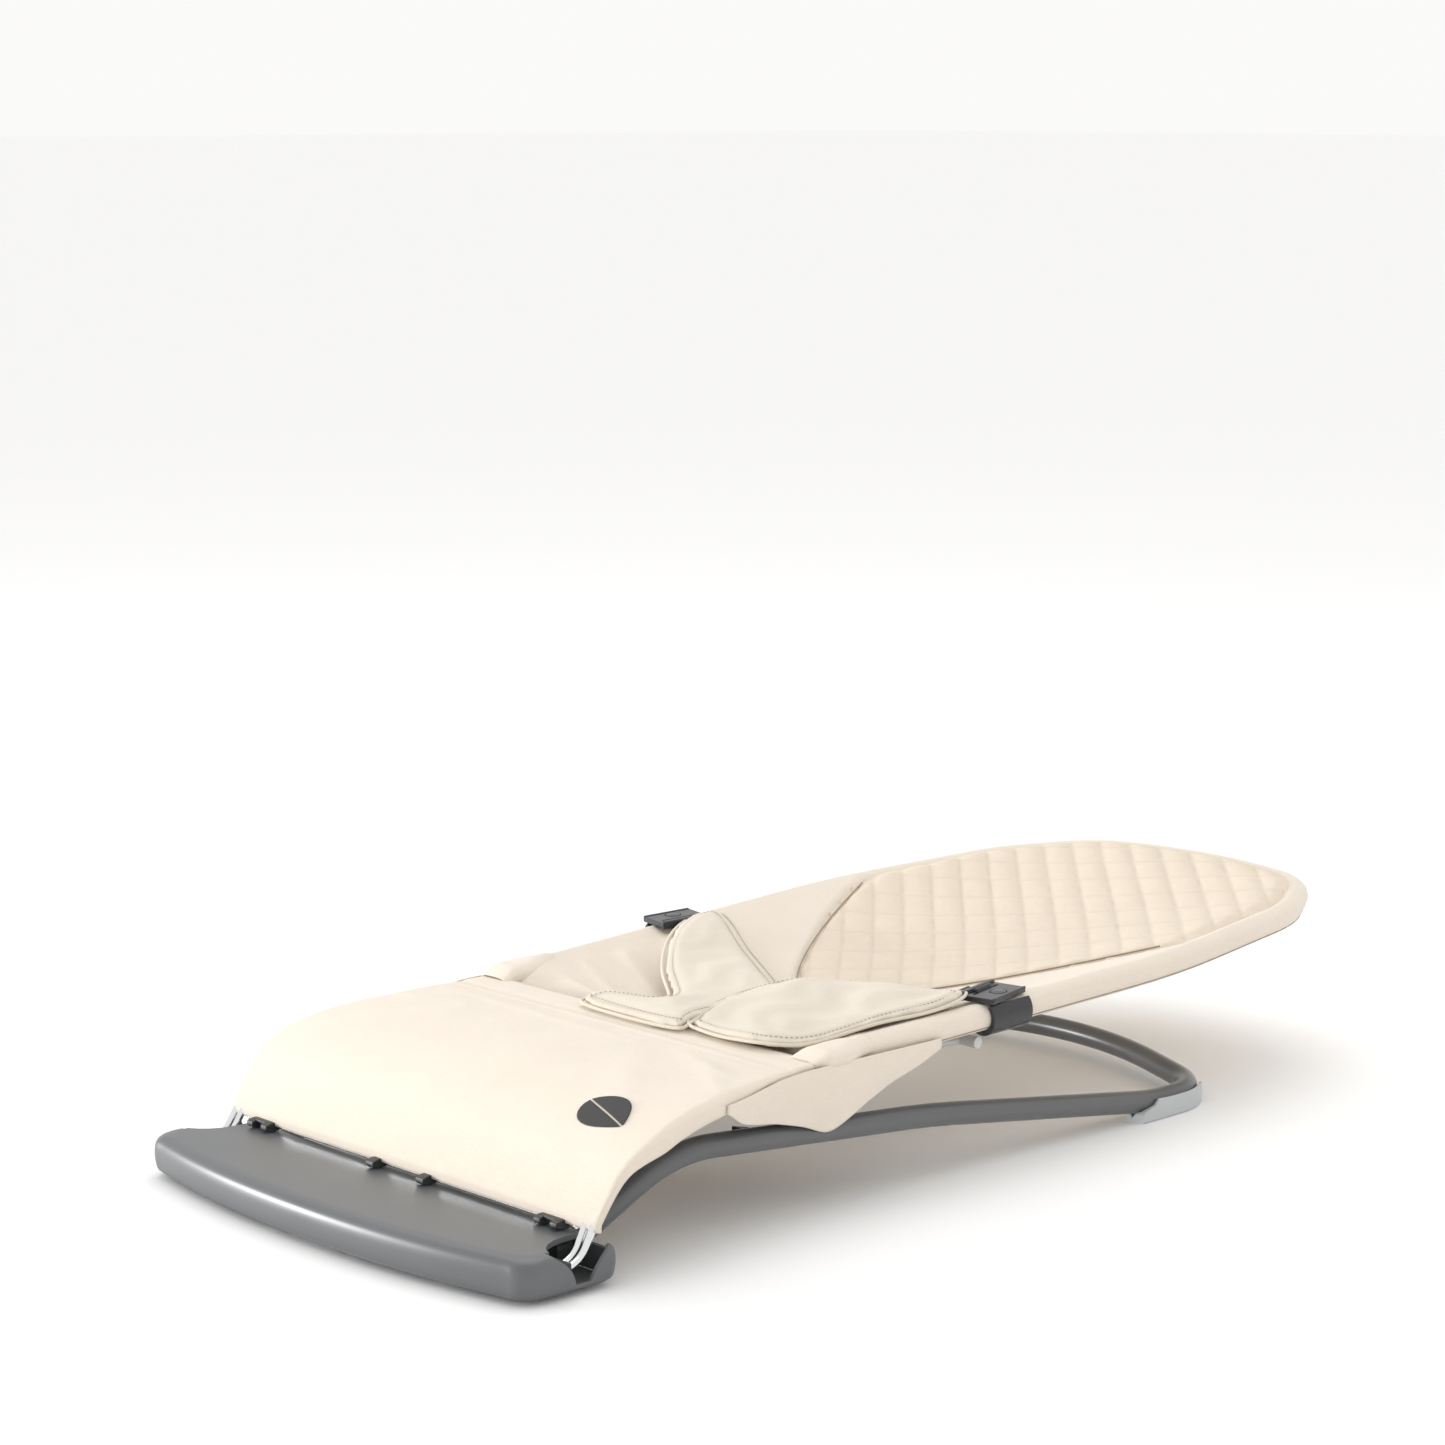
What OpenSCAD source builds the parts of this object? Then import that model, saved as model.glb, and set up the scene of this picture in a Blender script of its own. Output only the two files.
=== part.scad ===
// Folding fabric bouncer seat, shown folded flat for carrying.
// +X is the sitter's left-hand side, +Y runs from the front foot to the head end, +Z is up.
// The origin is on the floor under the middle of the object's box.

/* [Overall] */
// Length from the front edge of the foot to the head end
overall_l = 895; // [800:1:1000]
// Width of the front foot
foot_w = 396; // [350:1:440]
// Half width of the seat rails at the knee, to the tube centre
rail_x = 159; // [150:1:170]
// Height of the seat rail's hinge pin above the floor
pin_z = 97; // [94:0.5:104]
// Slope of the seat frame when it is folded flat
seat_tilt = 2.4; // [1.5:0.1:3.5]

/* [Foot] */
// Depth of the front foot
foot_d = 96; // [88:1:110]
// Height of the front foot, pads included
foot_h = 30; // [28:0.5:36]
// Wall of the foot shells
foot_wall = 2.4; // [1.8:0.1:3]
// Height of the joint between tray and cover
foot_split = 12; // [10:0.5:14]
// Thickness of the rubber pads under the foot
pad_t = 3; // [2:0.5:4]
// Distance of the hinge shaft from the front edge
shaft_y = 50; // [46:1:56]
// Height of the hinge shaft
shaft_z = 16; // [15:0.5:18]
// Diameter of the hinge shaft
shaft_d = 8; // [6:0.5:10]

/* [Base frame] */
// Outside diameter of the base tube
base_d = 16; // [14:0.5:20]
// Wall of the steel tubes
tube_wall = 1.2; // [1:0.1:2]
// Half width of the base frame, to the tube centre
base_x = 165; // [160:1:175]
// Height of the crest of the base tube
crest_z = 64; // [60:1:66]
// Distance of the rear corner of the base frame from the front edge
base_rear_y = 682; // [640:1:720]
// How far the rear bar bows rearwards at its middle
base_bow = 56; // [30:1:80]
// Length of each rear foot
rear_foot_l = 66; // [50:1:80]

/* [Seat frame] */
// Outside diameter of the seat tube
seat_d = 16; // [14:0.5:18]
// Thickness of the fabric sleeve round the seat tube
sleeve_t = 1.6; // [1:0.1:3]
// Distance of the rail hinge pin from the front edge
pin_y = 310; // [300:1:325]
// Diameter of the hinge pins in the brackets
pin_d = 6; // [5:0.5:8]
// Diameter of the chrome spring rods
rod_d = 5; // [4:0.25:6]
// Distance between the two rods of a pair
rod_gap = 14; // [11:0.5:16]
// Diameter of the bar under the knee line
knee_bar_d = 8; // [6:0.5:10]

/* [Strut] */
// Length of the strut from its pivot to its bar
strut_l = 150; // [146:1:156]
// Diameter of the strut's wire arms
strut_arm_d = 6; // [5:0.5:7]
// Diameter of the strut's cross bar
strut_bar_d = 8; // [6:0.5:9]
// Half width between the strut arms, to the wire centre
strut_x = 140; // [130:1:142]

/* [Fabric] */
// Thickness of the single fabric of the seat
cloth_t = 3; // [2:0.25:4]
// Thickness of the quilted back
quilt_t = 7; // [5:0.5:9]
// Half width of the front panel at its hem
hem_x = 200; // [195:1:205]
// Height of the panel's folded side edges
side_h = 17; // [14:0.5:20]
// Deepest sag of the seat between the rails
sag = 24; // [12:1:27]
// Thickness of the padded harness
bib_t = 7; // [5:0.5:8]

/* [Buckles] */
// Distance of the buckles behind the rail hinge pin
buckle_v = 150; // [140:1:165]
// Width of a buckle plate across the rail
plate_w = 31; // [28:0.5:34]
// Length of a buckle plate along the rail
plate_l = 40; // [34:1:44]
// Thickness of a buckle plate
plate_t = 5; // [4:0.25:6]
// Length of a rail clip
clip_l = 30; // [24:1:32]
// Diameter of a release button
button_d = 12; // [9:0.5:14]

/* [Fits] */
// Radial clearance where a pin or shaft turns in a bore
run_gap = 0.08; // [0.04:0.01:0.1]
// Gap kept between pieces that pass or face each other
gap = 0.4; // [0.3:0.05:0.6]

/* [Hidden] */
$fn = 64;

// Every node below is drawn in the object's frame

// Colours
slate = "#6f7377";
charcoal = "#3a3c3f";
cream = "#efe4cf";
quilt_cream = "#eadfc8";
rubber_grey = "#c9ccce";
steel = "#c8ccd0";

// ---- Vector helpers ----
function unit(v) = v / norm(v);
// Turn of the path at corner i, and the length of straight that its bend uses up
function turn(p, i) = acos(unit(p[i] - p[i - 1]) * unit(p[i + 1] - p[i]));
function tangent(p, radii, i) = i == 0 || i == len(p) - 1 ? 0 : radii[i] * tan(turn(p, i) / 2);
function mirror_path(p) = concat(p, [for (i = [len(p) - 2 : -1 : 0]) [-p[i].x, p[i].y, p[i].z]]);
function mirror_radii(r) = concat(r, [for (i = [len(r) - 2 : -1 : 0]) r[i]]);
function smooth(t) = let (c = max(0, min(1, t))) c * c * (3 - 2 * c);

// Points along a path with rounded corners, each as [place, direction]
bend_step = 7;
function bend_points(p, radii, i) = let (
    d = unit(p[i] - p[i - 1]),
    e = unit(p[i + 1] - p[i]),
    steps = max(1, ceil(turn(p, i) / bend_step)),
    center = p[i] + unit(e - d) * radii[i] / cos(turn(p, i) / 2),
    out = unit(p[i] - d * tangent(p, radii, i) - center))
  [for (k = [0 : steps]) let (a = turn(p, i) * k / steps)
    [center + radii[i] * (out * cos(a) + d * sin(a)), d * cos(a) - out * sin(a)]];
function rounded_path(p, radii) = let (last = len(p) - 1) concat(
  [[p[0], unit(p[1] - p[0])]],
  [for (i = [1 : last - 1]) each bend_points(p, radii, i)],
  [[p[last], unit(p[last] - p[last - 1])]]);

// A tube of outer radius ro and inner radius ri (0 when solid) along a rounded path
tube_sides = 16;
function tube_ring(q, r) = let (u = unit(cross(q[1], [0, 0, 1])), v = cross(u, q[1]))
  [for (k = [0 : tube_sides - 1]) let (a = 360 * k / tube_sides) q[0] + r * (u * cos(a) + v * sin(a))];
module bent_tube(p, radii, ro, ri = 0) {
  path = rounded_path(p, radii);
  rings = len(path);
  m = tube_sides;
  last = (rings - 1) * m;
  n = rings * m;
  function skin(base, flip) = [for (i = [0 : rings - 2], k = [0 : m - 1]) let (
      a = base + i * m + k,
      b = base + i * m + (k + 1) % m,
      quad = [[a, b, b + m], [a, b + m, a + m]])
    each [for (f = quad) flip ? [f[0], f[2], f[1]] : f]];
  ends = ri > 0
    ? [for (k = [0 : m - 1]) let (j = (k + 1) % m)
        each [[k, n + k, n + j], [k, n + j, j],
              [last + k, last + j, n + last + j], [last + k, n + last + j, n + last + k]]]
    : [[for (k = [m - 1 : -1 : 0]) k], [for (k = [0 : m - 1]) last + k]];
  polyhedron(
    points = concat([for (q = path) each tube_ring(q, ro)],
                    ri > 0 ? [for (q = path) each tube_ring(q, ri)] : []),
    faces = concat(skin(0, false), ri > 0 ? skin(n, true) : [], ends));
}
// Radius at which a cut with flat sides clears a round tube of radius r
function clear_of(r) = r / cos(180 / tube_sides) + 0.03;

// Mirrors a left-hand piece (+X) to the right-hand side
module right_hand() { mirror([1, 0, 0]) children(); }

// Moves a piece measured from the foot's front edge into the object's frame
module from_front() { translate([0, -overall_l / 2, 0]) children(); }

// The seat frame: origin on the rail pins' line, v along the seat to the head, w square to it
module seat_frame() {
  from_front() translate([0, pin_y, pin_z]) rotate([seat_tilt, 0, 0]) children();
}

// Cylinder along X from x0 to x1 at the given y and z
module x_bar(x0, x1, y, z, d) {
  translate([x0, y, z]) rotate([0, 90, 0]) cylinder(d = d, h = x1 - x0);
}

// A side outline given as [y, z] points, extruded along X from x0 to x1
module x_plate(x0, x1, outline) {
  translate([x0, 0, 0]) rotate([90, 0, 90]) linear_extrude(x1 - x0) polygon(outline);
}

// Closed solid between two grids of points with the same rows and columns
module grid_solid(upper, lower) {
  rows = len(upper);
  cols = len(upper[0]);
  n = rows * cols;
  function at(i, j) = i * cols + j;
  faces = concat(
    [for (i = [0 : rows - 2], j = [0 : cols - 2]) each [
      [at(i, j), at(i + 1, j + 1), at(i, j + 1)], [at(i, j), at(i + 1, j), at(i + 1, j + 1)]]],
    [for (i = [0 : rows - 2], j = [0 : cols - 2]) each [
      [n + at(i, j), n + at(i, j + 1), n + at(i + 1, j + 1)],
      [n + at(i, j), n + at(i + 1, j + 1), n + at(i + 1, j)]]],
    [for (i = [0 : rows - 2]) each [
      [at(i, 0), n + at(i + 1, 0), at(i + 1, 0)], [at(i, 0), n + at(i, 0), n + at(i + 1, 0)]]],
    [for (i = [0 : rows - 2]) each [
      [at(i, cols - 1), at(i + 1, cols - 1), n + at(i + 1, cols - 1)],
      [at(i, cols - 1), n + at(i + 1, cols - 1), n + at(i, cols - 1)]]],
    [for (j = [0 : cols - 2]) each [
      [at(0, j), at(0, j + 1), n + at(0, j + 1)], [at(0, j), n + at(0, j + 1), n + at(0, j)]]],
    [for (j = [0 : cols - 2]) each [
      [at(rows - 1, j), n + at(rows - 1, j + 1), at(rows - 1, j + 1)],
      [at(rows - 1, j), n + at(rows - 1, j), n + at(rows - 1, j + 1)]]]
  );
  polyhedron(points = concat([for (r = upper) each r], [for (r = lower) each r]), faces = faces);
}

// ---- Front foot ----
foot_bow = 22;
foot_corner = 16;
foot_floor = pad_t;
// Front edge of the foot: y at a distance x from the middle, inset by s
function foot_front(x, s) = s + foot_bow * pow(abs(x) / (foot_w / 2), 2.2);
foot_steps = 16;
function foot_outline(s, rear) = let (w = foot_w / 2 - s) concat(
  [for (i = [-foot_steps : foot_steps]) let (x = (w - foot_corner) * i / foot_steps)
    [x, foot_front(x, s)]],
  [for (a = [-60 : 30 : 0])
    [w - foot_corner + foot_corner * cos(a),
     foot_front(w - foot_corner, s) + foot_corner + foot_corner * sin(a)]],
  [[w, rear], [-w, rear]],
  [for (a = [180 : 30 : 240])
    [-w + foot_corner + foot_corner * cos(a),
     foot_front(w - foot_corner, s) + foot_corner + foot_corner * sin(a)]]
);
// The rods swing through a notch at each end of the foot, beside an outer cheek
cheek_t = 5;
notch_out = foot_w / 2 - cheek_t;
rod_out_x = notch_out - 6;
rod_in_x = rod_out_x - rod_gap;
notch_in = rod_in_x - rod_d / 2 - 2;
notch_front = shaft_y - 14;
// The base tube enters the foot between two ribs
base_in_x = 148;
base_in_z = foot_floor + foot_wall + base_d / 2 + 0.6;
base_start_y = 60;

module foot_notch(bottom) {
  translate([notch_in, notch_front, bottom]) cube([notch_out - notch_in, foot_d, foot_h]);
}

module foot_hollow(z0, z1, s) {
  translate([0, 0, z0]) linear_extrude(z1 - z0) polygon(foot_outline(s, foot_d - s));
}

// Tunnel for the base tube, open to the rear
module base_tube_passage() {
  translate([base_in_x - base_d / 2 - 1, base_start_y - 1, base_in_z - base_d / 2 - 0.5])
    cube([base_d + 2, foot_d, base_d + 5]);
}

module foot_cover() {
  color(slate) from_front() difference() {
    hull() {
      translate([0, 0, foot_split]) linear_extrude(8) polygon(foot_outline(0, foot_d));
      translate([0, 0, foot_h - 3]) linear_extrude(1) polygon(foot_outline(3, foot_d - 2));
      translate([0, 0, foot_h - 0.5]) linear_extrude(0.5) polygon(foot_outline(11, foot_d - 8));
    }
    foot_hollow(foot_split - 1, foot_h - foot_wall - 1.5, foot_wall + 4);
    foot_hollow(foot_split - 1, foot_split + 7, foot_wall);
    for (side = [0, 1]) mirror([side, 0, 0]) {
      foot_notch(foot_split - 1);
      base_tube_passage();
    }
  }
}

screw_spots = [[-120, 22], [-40, 14], [40, 14], [120, 22], [-60, 82], [60, 82]];
screw_d = 4;
boss_d = 10;

module foot_tray() {
  color(slate) from_front() difference() {
    union() {
      difference() {
        hull() {
          translate([0, 0, foot_split - 1.2]) linear_extrude(1)
            polygon(foot_outline(0.8, foot_d - 0.8));
          translate([0, 0, foot_floor]) linear_extrude(0.5) polygon(foot_outline(9, foot_d - 6));
        }
        foot_hollow(foot_floor + foot_wall, foot_split + 1, foot_wall + 7);
      }
      // saddles for the hinge shaft
      for (x = [-150, -80, 80, 150])
        translate([x - 4, shaft_y - 8, foot_floor + 1])
          cube([8, 16, shaft_z - foot_floor - 1]);
      for (s = screw_spots)
        translate([s.x, s.y, foot_floor + 0.5]) cylinder(d = boss_d, h = foot_split - foot_floor - 1);
    }
    x_bar(-foot_w / 2, foot_w / 2, shaft_y, shaft_z, shaft_d);
    for (s = screw_spots) translate([s.x, s.y, 0]) cylinder(d = screw_d, h = foot_h);
    for (side = [0, 1]) mirror([side, 0, 0]) {
      foot_notch(foot_floor + foot_wall);
      base_tube_passage();
    }
  }
}

module foot_screws() {
  color(charcoal) from_front() for (s = screw_spots) {
    translate([s.x, s.y, foot_floor - 1.5]) cylinder(d = 8, h = 1.5);
    translate([s.x, s.y, foot_floor - 0.1]) cylinder(d = screw_d, h = foot_split - foot_floor + 4);
  }
}

center_pad_w = 48;
module foot_center_pad() {
  color(charcoal) from_front()
    translate([-center_pad_w / 2, 13, 0]) cube([center_pad_w, 26, pad_t]);
}

module end_pad() {
  translate([foot_w / 2 - 34, 40, 0]) cube([20, 42, pad_t]);
}
module foot_pad_left() { color(charcoal) from_front() end_pad(); }
module foot_pad_right() { color(charcoal) from_front() right_hand() end_pad(); }

module hinge_shaft() {
  color(steel) from_front()
    x_bar(-notch_out + 0.5, notch_out - 0.5, shaft_y, shaft_z, shaft_d);
}

// Clamp that ties the tube's end to the tray
module tube_clamp() {
  difference() {
    translate([base_in_x - base_d / 2 - 0.7, base_start_y + 8, foot_floor + foot_wall])
      cube([base_d + 1.4, 12, base_d + 1.8]);
    translate([base_in_x, base_start_y + 7, base_in_z]) rotate([-90, 0, 0])
      cylinder(d = base_d, h = 14);
  }
}
module tube_clamp_left() { color(charcoal) from_front() tube_clamp(); }
module tube_clamp_right() { color(charcoal) from_front() right_hand() tube_clamp(); }

// ---- Base frame ----
base_rise_y = 168;
base_mid_y = 400;
base_mid_z = crest_z - 20;
base_low_z = base_d / 2 + 3;
base_half = [
  [base_in_x, base_start_y, base_in_z],
  [base_in_x, base_start_y + 34, base_in_z],
  [base_x, base_rise_y, crest_z],
  [base_x, base_mid_y, base_mid_z],
  [base_x, base_rear_y - 54, base_low_z],
  [base_x - 2, base_rear_y, base_low_z],
  [0, base_rear_y + base_bow, base_low_z + 8]
];
base_radii = [0, 40, 90, 800, 200, 44, 300];

module base_tube() {
  color(slate) from_front()
    bent_tube(mirror_path(base_half), mirror_radii(base_radii), base_d / 2, base_d / 2 - tube_wall);
}

// Rubber shoe round the outer and lower side of a rear corner
shoe_t = 3;
module rear_shoe() {
  difference() {
    translate([base_x, base_rear_y - 44, 0])
      rotate([90, 0, 90]) translate([0, 0, -base_d / 2 - shoe_t]) linear_extrude(base_d + 2 * shoe_t)
        polygon([[-rear_foot_l / 2 + 2, 0], [rear_foot_l / 2 - 8, 0],
                 [rear_foot_l / 2 - 14, base_low_z + 2], [-rear_foot_l / 2 + 18, base_low_z + 2]]);
    // the tube lies in the shoe
    bent_tube(base_half, base_radii, clear_of(base_d / 2));
    // open on the inner side
    translate([base_x - base_d / 2 - shoe_t - 1, 0, shoe_t])
      cube([base_d / 2 + 1, overall_l, foot_h]);
  }
}
module rear_foot_left() { color(rubber_grey) from_front() rear_shoe(); }
module rear_foot_right() { color(rubber_grey) from_front() right_hand() rear_shoe(); }

// ---- Strut geometry, needed by the racks ----
strut_y = pin_y - 4;
strut_z = pin_z - 13;
// Angle of the strut below level when the seat is flat, and its turn for each degree of the seat
strut_drop = 0.8;
strut_ratio = 3.406;
// Angles of the seat over the three notches: sleep, rest and play
seat_stops = [22, 26.5, 33];
// The strut pivot turns with the seat about the hinge shaft
pivot_r = norm([strut_y - shaft_y, strut_z - shaft_z]);
pivot_a = atan2(strut_z - shaft_z, strut_y - shaft_y);
function pivot_at(t) = [shaft_y + pivot_r * cos(pivot_a + t), shaft_z + pivot_r * sin(pivot_a + t)];
function bar_at(t) = let (a = strut_drop + (strut_ratio - 1) * t)
  pivot_at(t) + strut_l * [cos(a), -sin(a)];
strut_bar_end = base_x - base_d / 2 - 1;

// Height of the base tube's centre line between crest and rear corner
function rail_line(y) = base_mid_z
  + (y < base_mid_y
     ? (crest_z - base_mid_z) * (base_mid_y - y) / (base_mid_y - base_rise_y)
     : (base_low_z - base_mid_z) * (y - base_mid_y) / (base_rear_y - 54 - base_mid_y));

// Notched rack on the inner side of each base rail; the strut's bar stops over its notches
rack_x0 = strut_x + strut_arm_d / 2 + 4;
rack_low = 7;
notch_depth = 2.5;
first_stop = seat_stops[0] - 2.2;
last_stop = seat_stops[2] + 1.8;
// Top of the rack: just under the path of the bar
function rack_top(t) = bar_at(t) - [0, strut_bar_d / 2 + 0.8];
module rack() {
  steps = [for (i = [0 : 12]) first_stop + (last_stop - first_stop) * i / 12];
  difference() {
    x_plate(rack_x0, base_x - 3, concat(
      [for (t = steps) rack_top(t)],
      [for (i = [12 : -1 : 0]) let (y = rack_top(steps[i]).x) [y, rail_line(y) - rack_low]]));
    for (t = seat_stops)
      x_bar(rack_x0 - 1, base_x, bar_at(t).x, bar_at(t).y - notch_depth, strut_bar_d + 1.6);
    bent_tube(base_half, base_radii, clear_of(base_d / 2));
  }
}
module rack_left() { color(charcoal) from_front() rack(); }
module rack_right() { color(charcoal) from_front() right_hand() rack(); }

// Heads of the screws that hold the racks on the tube
rack_screw_t = [seat_stops[0] + 2.2, seat_stops[1] + 3.4];
module rack_screws() {
  color(steel) from_front() for (side = [0, 1], t = rack_screw_t)
    mirror([side, 0, 0])
      x_bar(rack_x0 - 1.5, rack_x0, bar_at(t).x, rail_line(bar_at(t).x) - 2, 6);
}

// ---- Spring rods ----
bracket_front = pin_y - 50;
rod_rear_z = pin_z - 9;
rod_rear_out = rail_x + 4;
// Path of one rod, from the anchor in the foot up to the knee bracket
function rod_path(x0, x1) = [
  [x0, shaft_y + 5.5, shaft_z],
  [x0, shaft_y + 22, shaft_z],
  [x0 + (x1 - x0) * 0.3, 126, pin_z - 19],
  [x1, bracket_front - 20, rod_rear_z],
  [x1, bracket_front + 14, rod_rear_z + 0.6]
];
rod_radii = [0, 22, 54, 160, 0];
module rod(x0, x1) { bent_tube(rod_path(x0, x1), rod_radii, rod_d / 2); }
module rod_outer_left() { color(steel) from_front() rod(rod_out_x, rod_rear_out); }
module rod_outer_right() { color(steel) from_front() right_hand() rod(rod_out_x, rod_rear_out); }
module rod_inner_left() { color(steel) from_front() rod(rod_in_x, rod_rear_out - rod_gap); }
module rod_inner_right() {
  color(steel) from_front() right_hand() rod(rod_in_x, rod_rear_out - rod_gap);
}

// Knuckle that turns on the hinge shaft and holds the front ends of two rods
module rod_anchor() {
  difference() {
    union() {
      x_bar(notch_in + gap, notch_out - gap - 1, shaft_y, shaft_z, shaft_d + 8);
      translate([notch_in + gap, shaft_y, shaft_z - 4.5])
        cube([notch_out - notch_in - 2 * gap - 1, 11.5, 9]);
    }
    x_bar(notch_in, notch_out, shaft_y, shaft_z, shaft_d + 2 * run_gap);
    for (x = [rod_in_x, rod_out_x])
      translate([x, shaft_y + 5.5, shaft_z]) rotate([-90, 0, 0]) cylinder(d = rod_d, h = 20);
  }
}
module rod_anchor_left() { color(charcoal) from_front() rod_anchor(); }
module rod_anchor_right() { color(charcoal) from_front() right_hand() rod_anchor(); }

// ---- Front panel ----
// Crest line of the panel, as y and z, at a share s of the way from hem to rear edge
panel_hem_y = 75;
panel_rear_y = pin_y - 16;
panel_steps = 22;
function panel_y(s) = panel_hem_y + (panel_rear_y - panel_hem_y) * pow(s, 1.55);
function panel_z(s) = pin_z + 2.5 - (pin_z - 36) * (1 - smooth_rise(panel_y(s)));
function smooth_rise(y) = let (t = (y - panel_hem_y) / 80) 1 - exp(-2.6 * t) * (1 + 0.6 * t);
function panel_half(s) = let (y = panel_y(s))
  rail_x + 9.5 + (hem_x - rail_x - 9.5) * (1 - smooth((y - panel_hem_y + 10) / (pin_y - panel_hem_y + 10)));
lip_end = 5.2;
function panel_side(s) = let (fade = smooth((panel_y(s) - pin_y + 108) / 45))
  side_h * min(1, 0.65 + 2.2 * s) * (1 - 0.2 * s) * (1 - fade) + lip_end * fade;
// Outline of the panel's cross section: a broad top with two turned-down edges
function panel_section(w, h) = let (a = h * 0.24, b = h * 0.3) [
  [-w + 10, -h], [-w + 3, -h], [-w, -h + a], [-w, -b], [-w + 4, -0.8], [-w + 12, 0],
  [-w / 2, 0.3], [0, 0.5], [w / 2, 0.3],
  [w - 12, 0], [w - 4, -0.8], [w, -b], [w, -h + a], [w - 3, -h], [w - 10, -h]
];
function panel_inner(w, h, t) = let (a = h - t - (h - 2 * t) * 0.2, b = t + (h - 2 * t) * 0.25) [
  [-w + 10, -h + t], [-w + 4, -h + t], [-w + t, -a], [-w + t, -b], [-w + 5.5, -t - 0.1],
  [-w + 12, -t], [-w / 2, -t], [0, -t], [w / 2, -t],
  [w - 12, -t], [w - 5.5, -t - 0.1], [w - t, -b], [w - t, -a], [w - 4, -h + t], [w - 10, -h + t]
];
// Tips a section point square to the crest line
function panel_slope(s) = let (a = max(0, s - 0.01), b = min(1, s + 0.01))
  unit([panel_y(b) - panel_y(a), panel_z(b) - panel_z(a)]);
function panel_point(s, q) = let (d = panel_slope(s))
  [q.x, panel_y(s) - q.y * d.y, panel_z(s) + q.y * d.x];
function panel_grid(inner) = [for (i = [0 : panel_steps]) let (s = i / panel_steps)
  [for (q = inner ? panel_inner(panel_half(s), panel_side(s), cloth_t - 0.6)
        : panel_section(panel_half(s), panel_side(s))) panel_point(s, q)]];
module front_panel() { color(cream) from_front() grid_solid(panel_grid(false), panel_grid(true)); }

// Cloth flap that hangs over the outer side of the knee bracket
flap_x = base_x + base_d / 2 + gap;
module side_flap() {
  x_plate(flap_x, flap_x + 2, [
    [pin_y - 40, pin_z - 12], [pin_y - 24, pin_z - 30], [pin_y - 10, pin_z - 43],
    [pin_y + 10, pin_z - 31], [pin_y + 34, pin_z - 24], [pin_y + 88, pin_z - 10],
    [pin_y + 88, pin_z + 4], [pin_y - 40, pin_z + 2]]);
}
module side_flap_left() { color(cream) from_front() side_flap(); }
module side_flap_right() { color(cream) from_front() right_hand() side_flap(); }

// Wire in the hem, and the hooks that hold the hem on it
hem_wire_y = panel_hem_y + 10;
hem_wire_z = foot_h + 4;
hem_wire_d = 4;
hem_wire_end = rod_in_x - rod_d / 2 - 1;
module hem_wire() {
  color(steel) from_front() x_bar(-hem_wire_end, hem_wire_end, hem_wire_y, hem_wire_z, hem_wire_d);
}
module hem_hook(x, w) {
  difference() {
    translate([x - w / 2, hem_wire_y - 6, hem_wire_z - 3]) cube([w, 9, 5.6]);
    x_bar(x - w, x + w, hem_wire_y, hem_wire_z, hem_wire_d);
  }
}
module hem_clip_left() { color(charcoal) from_front() hem_hook(150, 22); }
module hem_clip_right() { color(charcoal) from_front() right_hand() hem_hook(150, 22); }
module hem_studs() { color(charcoal) from_front() for (x = [-26, 26]) hem_hook(x, 8); }

// ---- Knee brackets ----
cheek_in = rail_x - seat_d / 2 - 1.5 - 3;
cheek_out = rail_x + seat_d / 2 + 1.5;
bracket_base = strut_z - 7;
// Highest that the bracket may reach under the panel
bracket_top = pin_z - 3.4;
module knee_bracket() {
  difference() {
    union() {
      // front block that takes the rods and the knee bar
      x_plate(cheek_in - 2, cheek_out + 3, [
        [bracket_front, rod_rear_z - 7], [bracket_front + 28, rod_rear_z - 10],
        [bracket_front + 30, bracket_top], [bracket_front, bracket_top]]);
      // two cheeks that hold the rail pin
      for (x = [cheek_in, cheek_out])
        x_plate(x, x + 3, [
          [bracket_front + 20, rod_rear_z - 8], [strut_y - 9, bracket_base],
          [strut_y + 9, bracket_base], [pin_y + 14, pin_z - 6], [pin_y + 10, pin_z + 5],
          [pin_y - 12, pin_z + 5], [pin_y - 14, bracket_top], [bracket_front + 20, bracket_top]]);
      // leg that rests on the base tube when the seat is folded
      x_plate(cheek_out, cheek_out + 3, [
        [strut_y - 14, bracket_base + 2], [strut_y - 6, rest_z], [strut_y + 6, rest_z],
        [strut_y + 14, bracket_base + 2]]);
      x_plate(cheek_out - 5, cheek_out + 3, [
        [strut_y - 6, rest_z], [strut_y + 6, rest_z], [strut_y + 6, rest_z + 3],
        [strut_y - 6, rest_z + 3]]);
    }
    x_bar(0, foot_w / 2, pin_y, pin_z, pin_d);
    x_bar(0, rail_x, strut_y, strut_z, pin_d);
    for (x = [rod_rear_out, rod_rear_out - rod_gap])
      translate([x, bracket_front - 20, rod_rear_z]) rotate([-89, 0, 0]) cylinder(d = rod_d, h = 36);
    x_bar(0, cheek_in + 2, knee_bar_y, knee_bar_z, knee_bar_d);
  }
}
knee_bar_y = bracket_front + 20;
knee_bar_z = rod_rear_z + 1;
rest_z = rail_line(strut_y) + base_d / 2 + 0.6;
module knee_bracket_left() { color(charcoal) from_front() knee_bracket(); }
module knee_bracket_right() { color(charcoal) from_front() right_hand() knee_bracket(); }

module knee_bar() {
  color(steel) from_front()
    x_bar(-cheek_in - 2, cheek_in + 2, knee_bar_y, knee_bar_z, knee_bar_d);
}

// Pin of the seat rail, through both cheeks
module rail_pin_left() {
  color(steel) from_front() x_bar(cheek_in, cheek_out + 3, pin_y, pin_z, pin_d);
}
module rail_pin_right() {
  color(steel) from_front() right_hand() x_bar(cheek_in, cheek_out + 3, pin_y, pin_z, pin_d);
}

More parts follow.
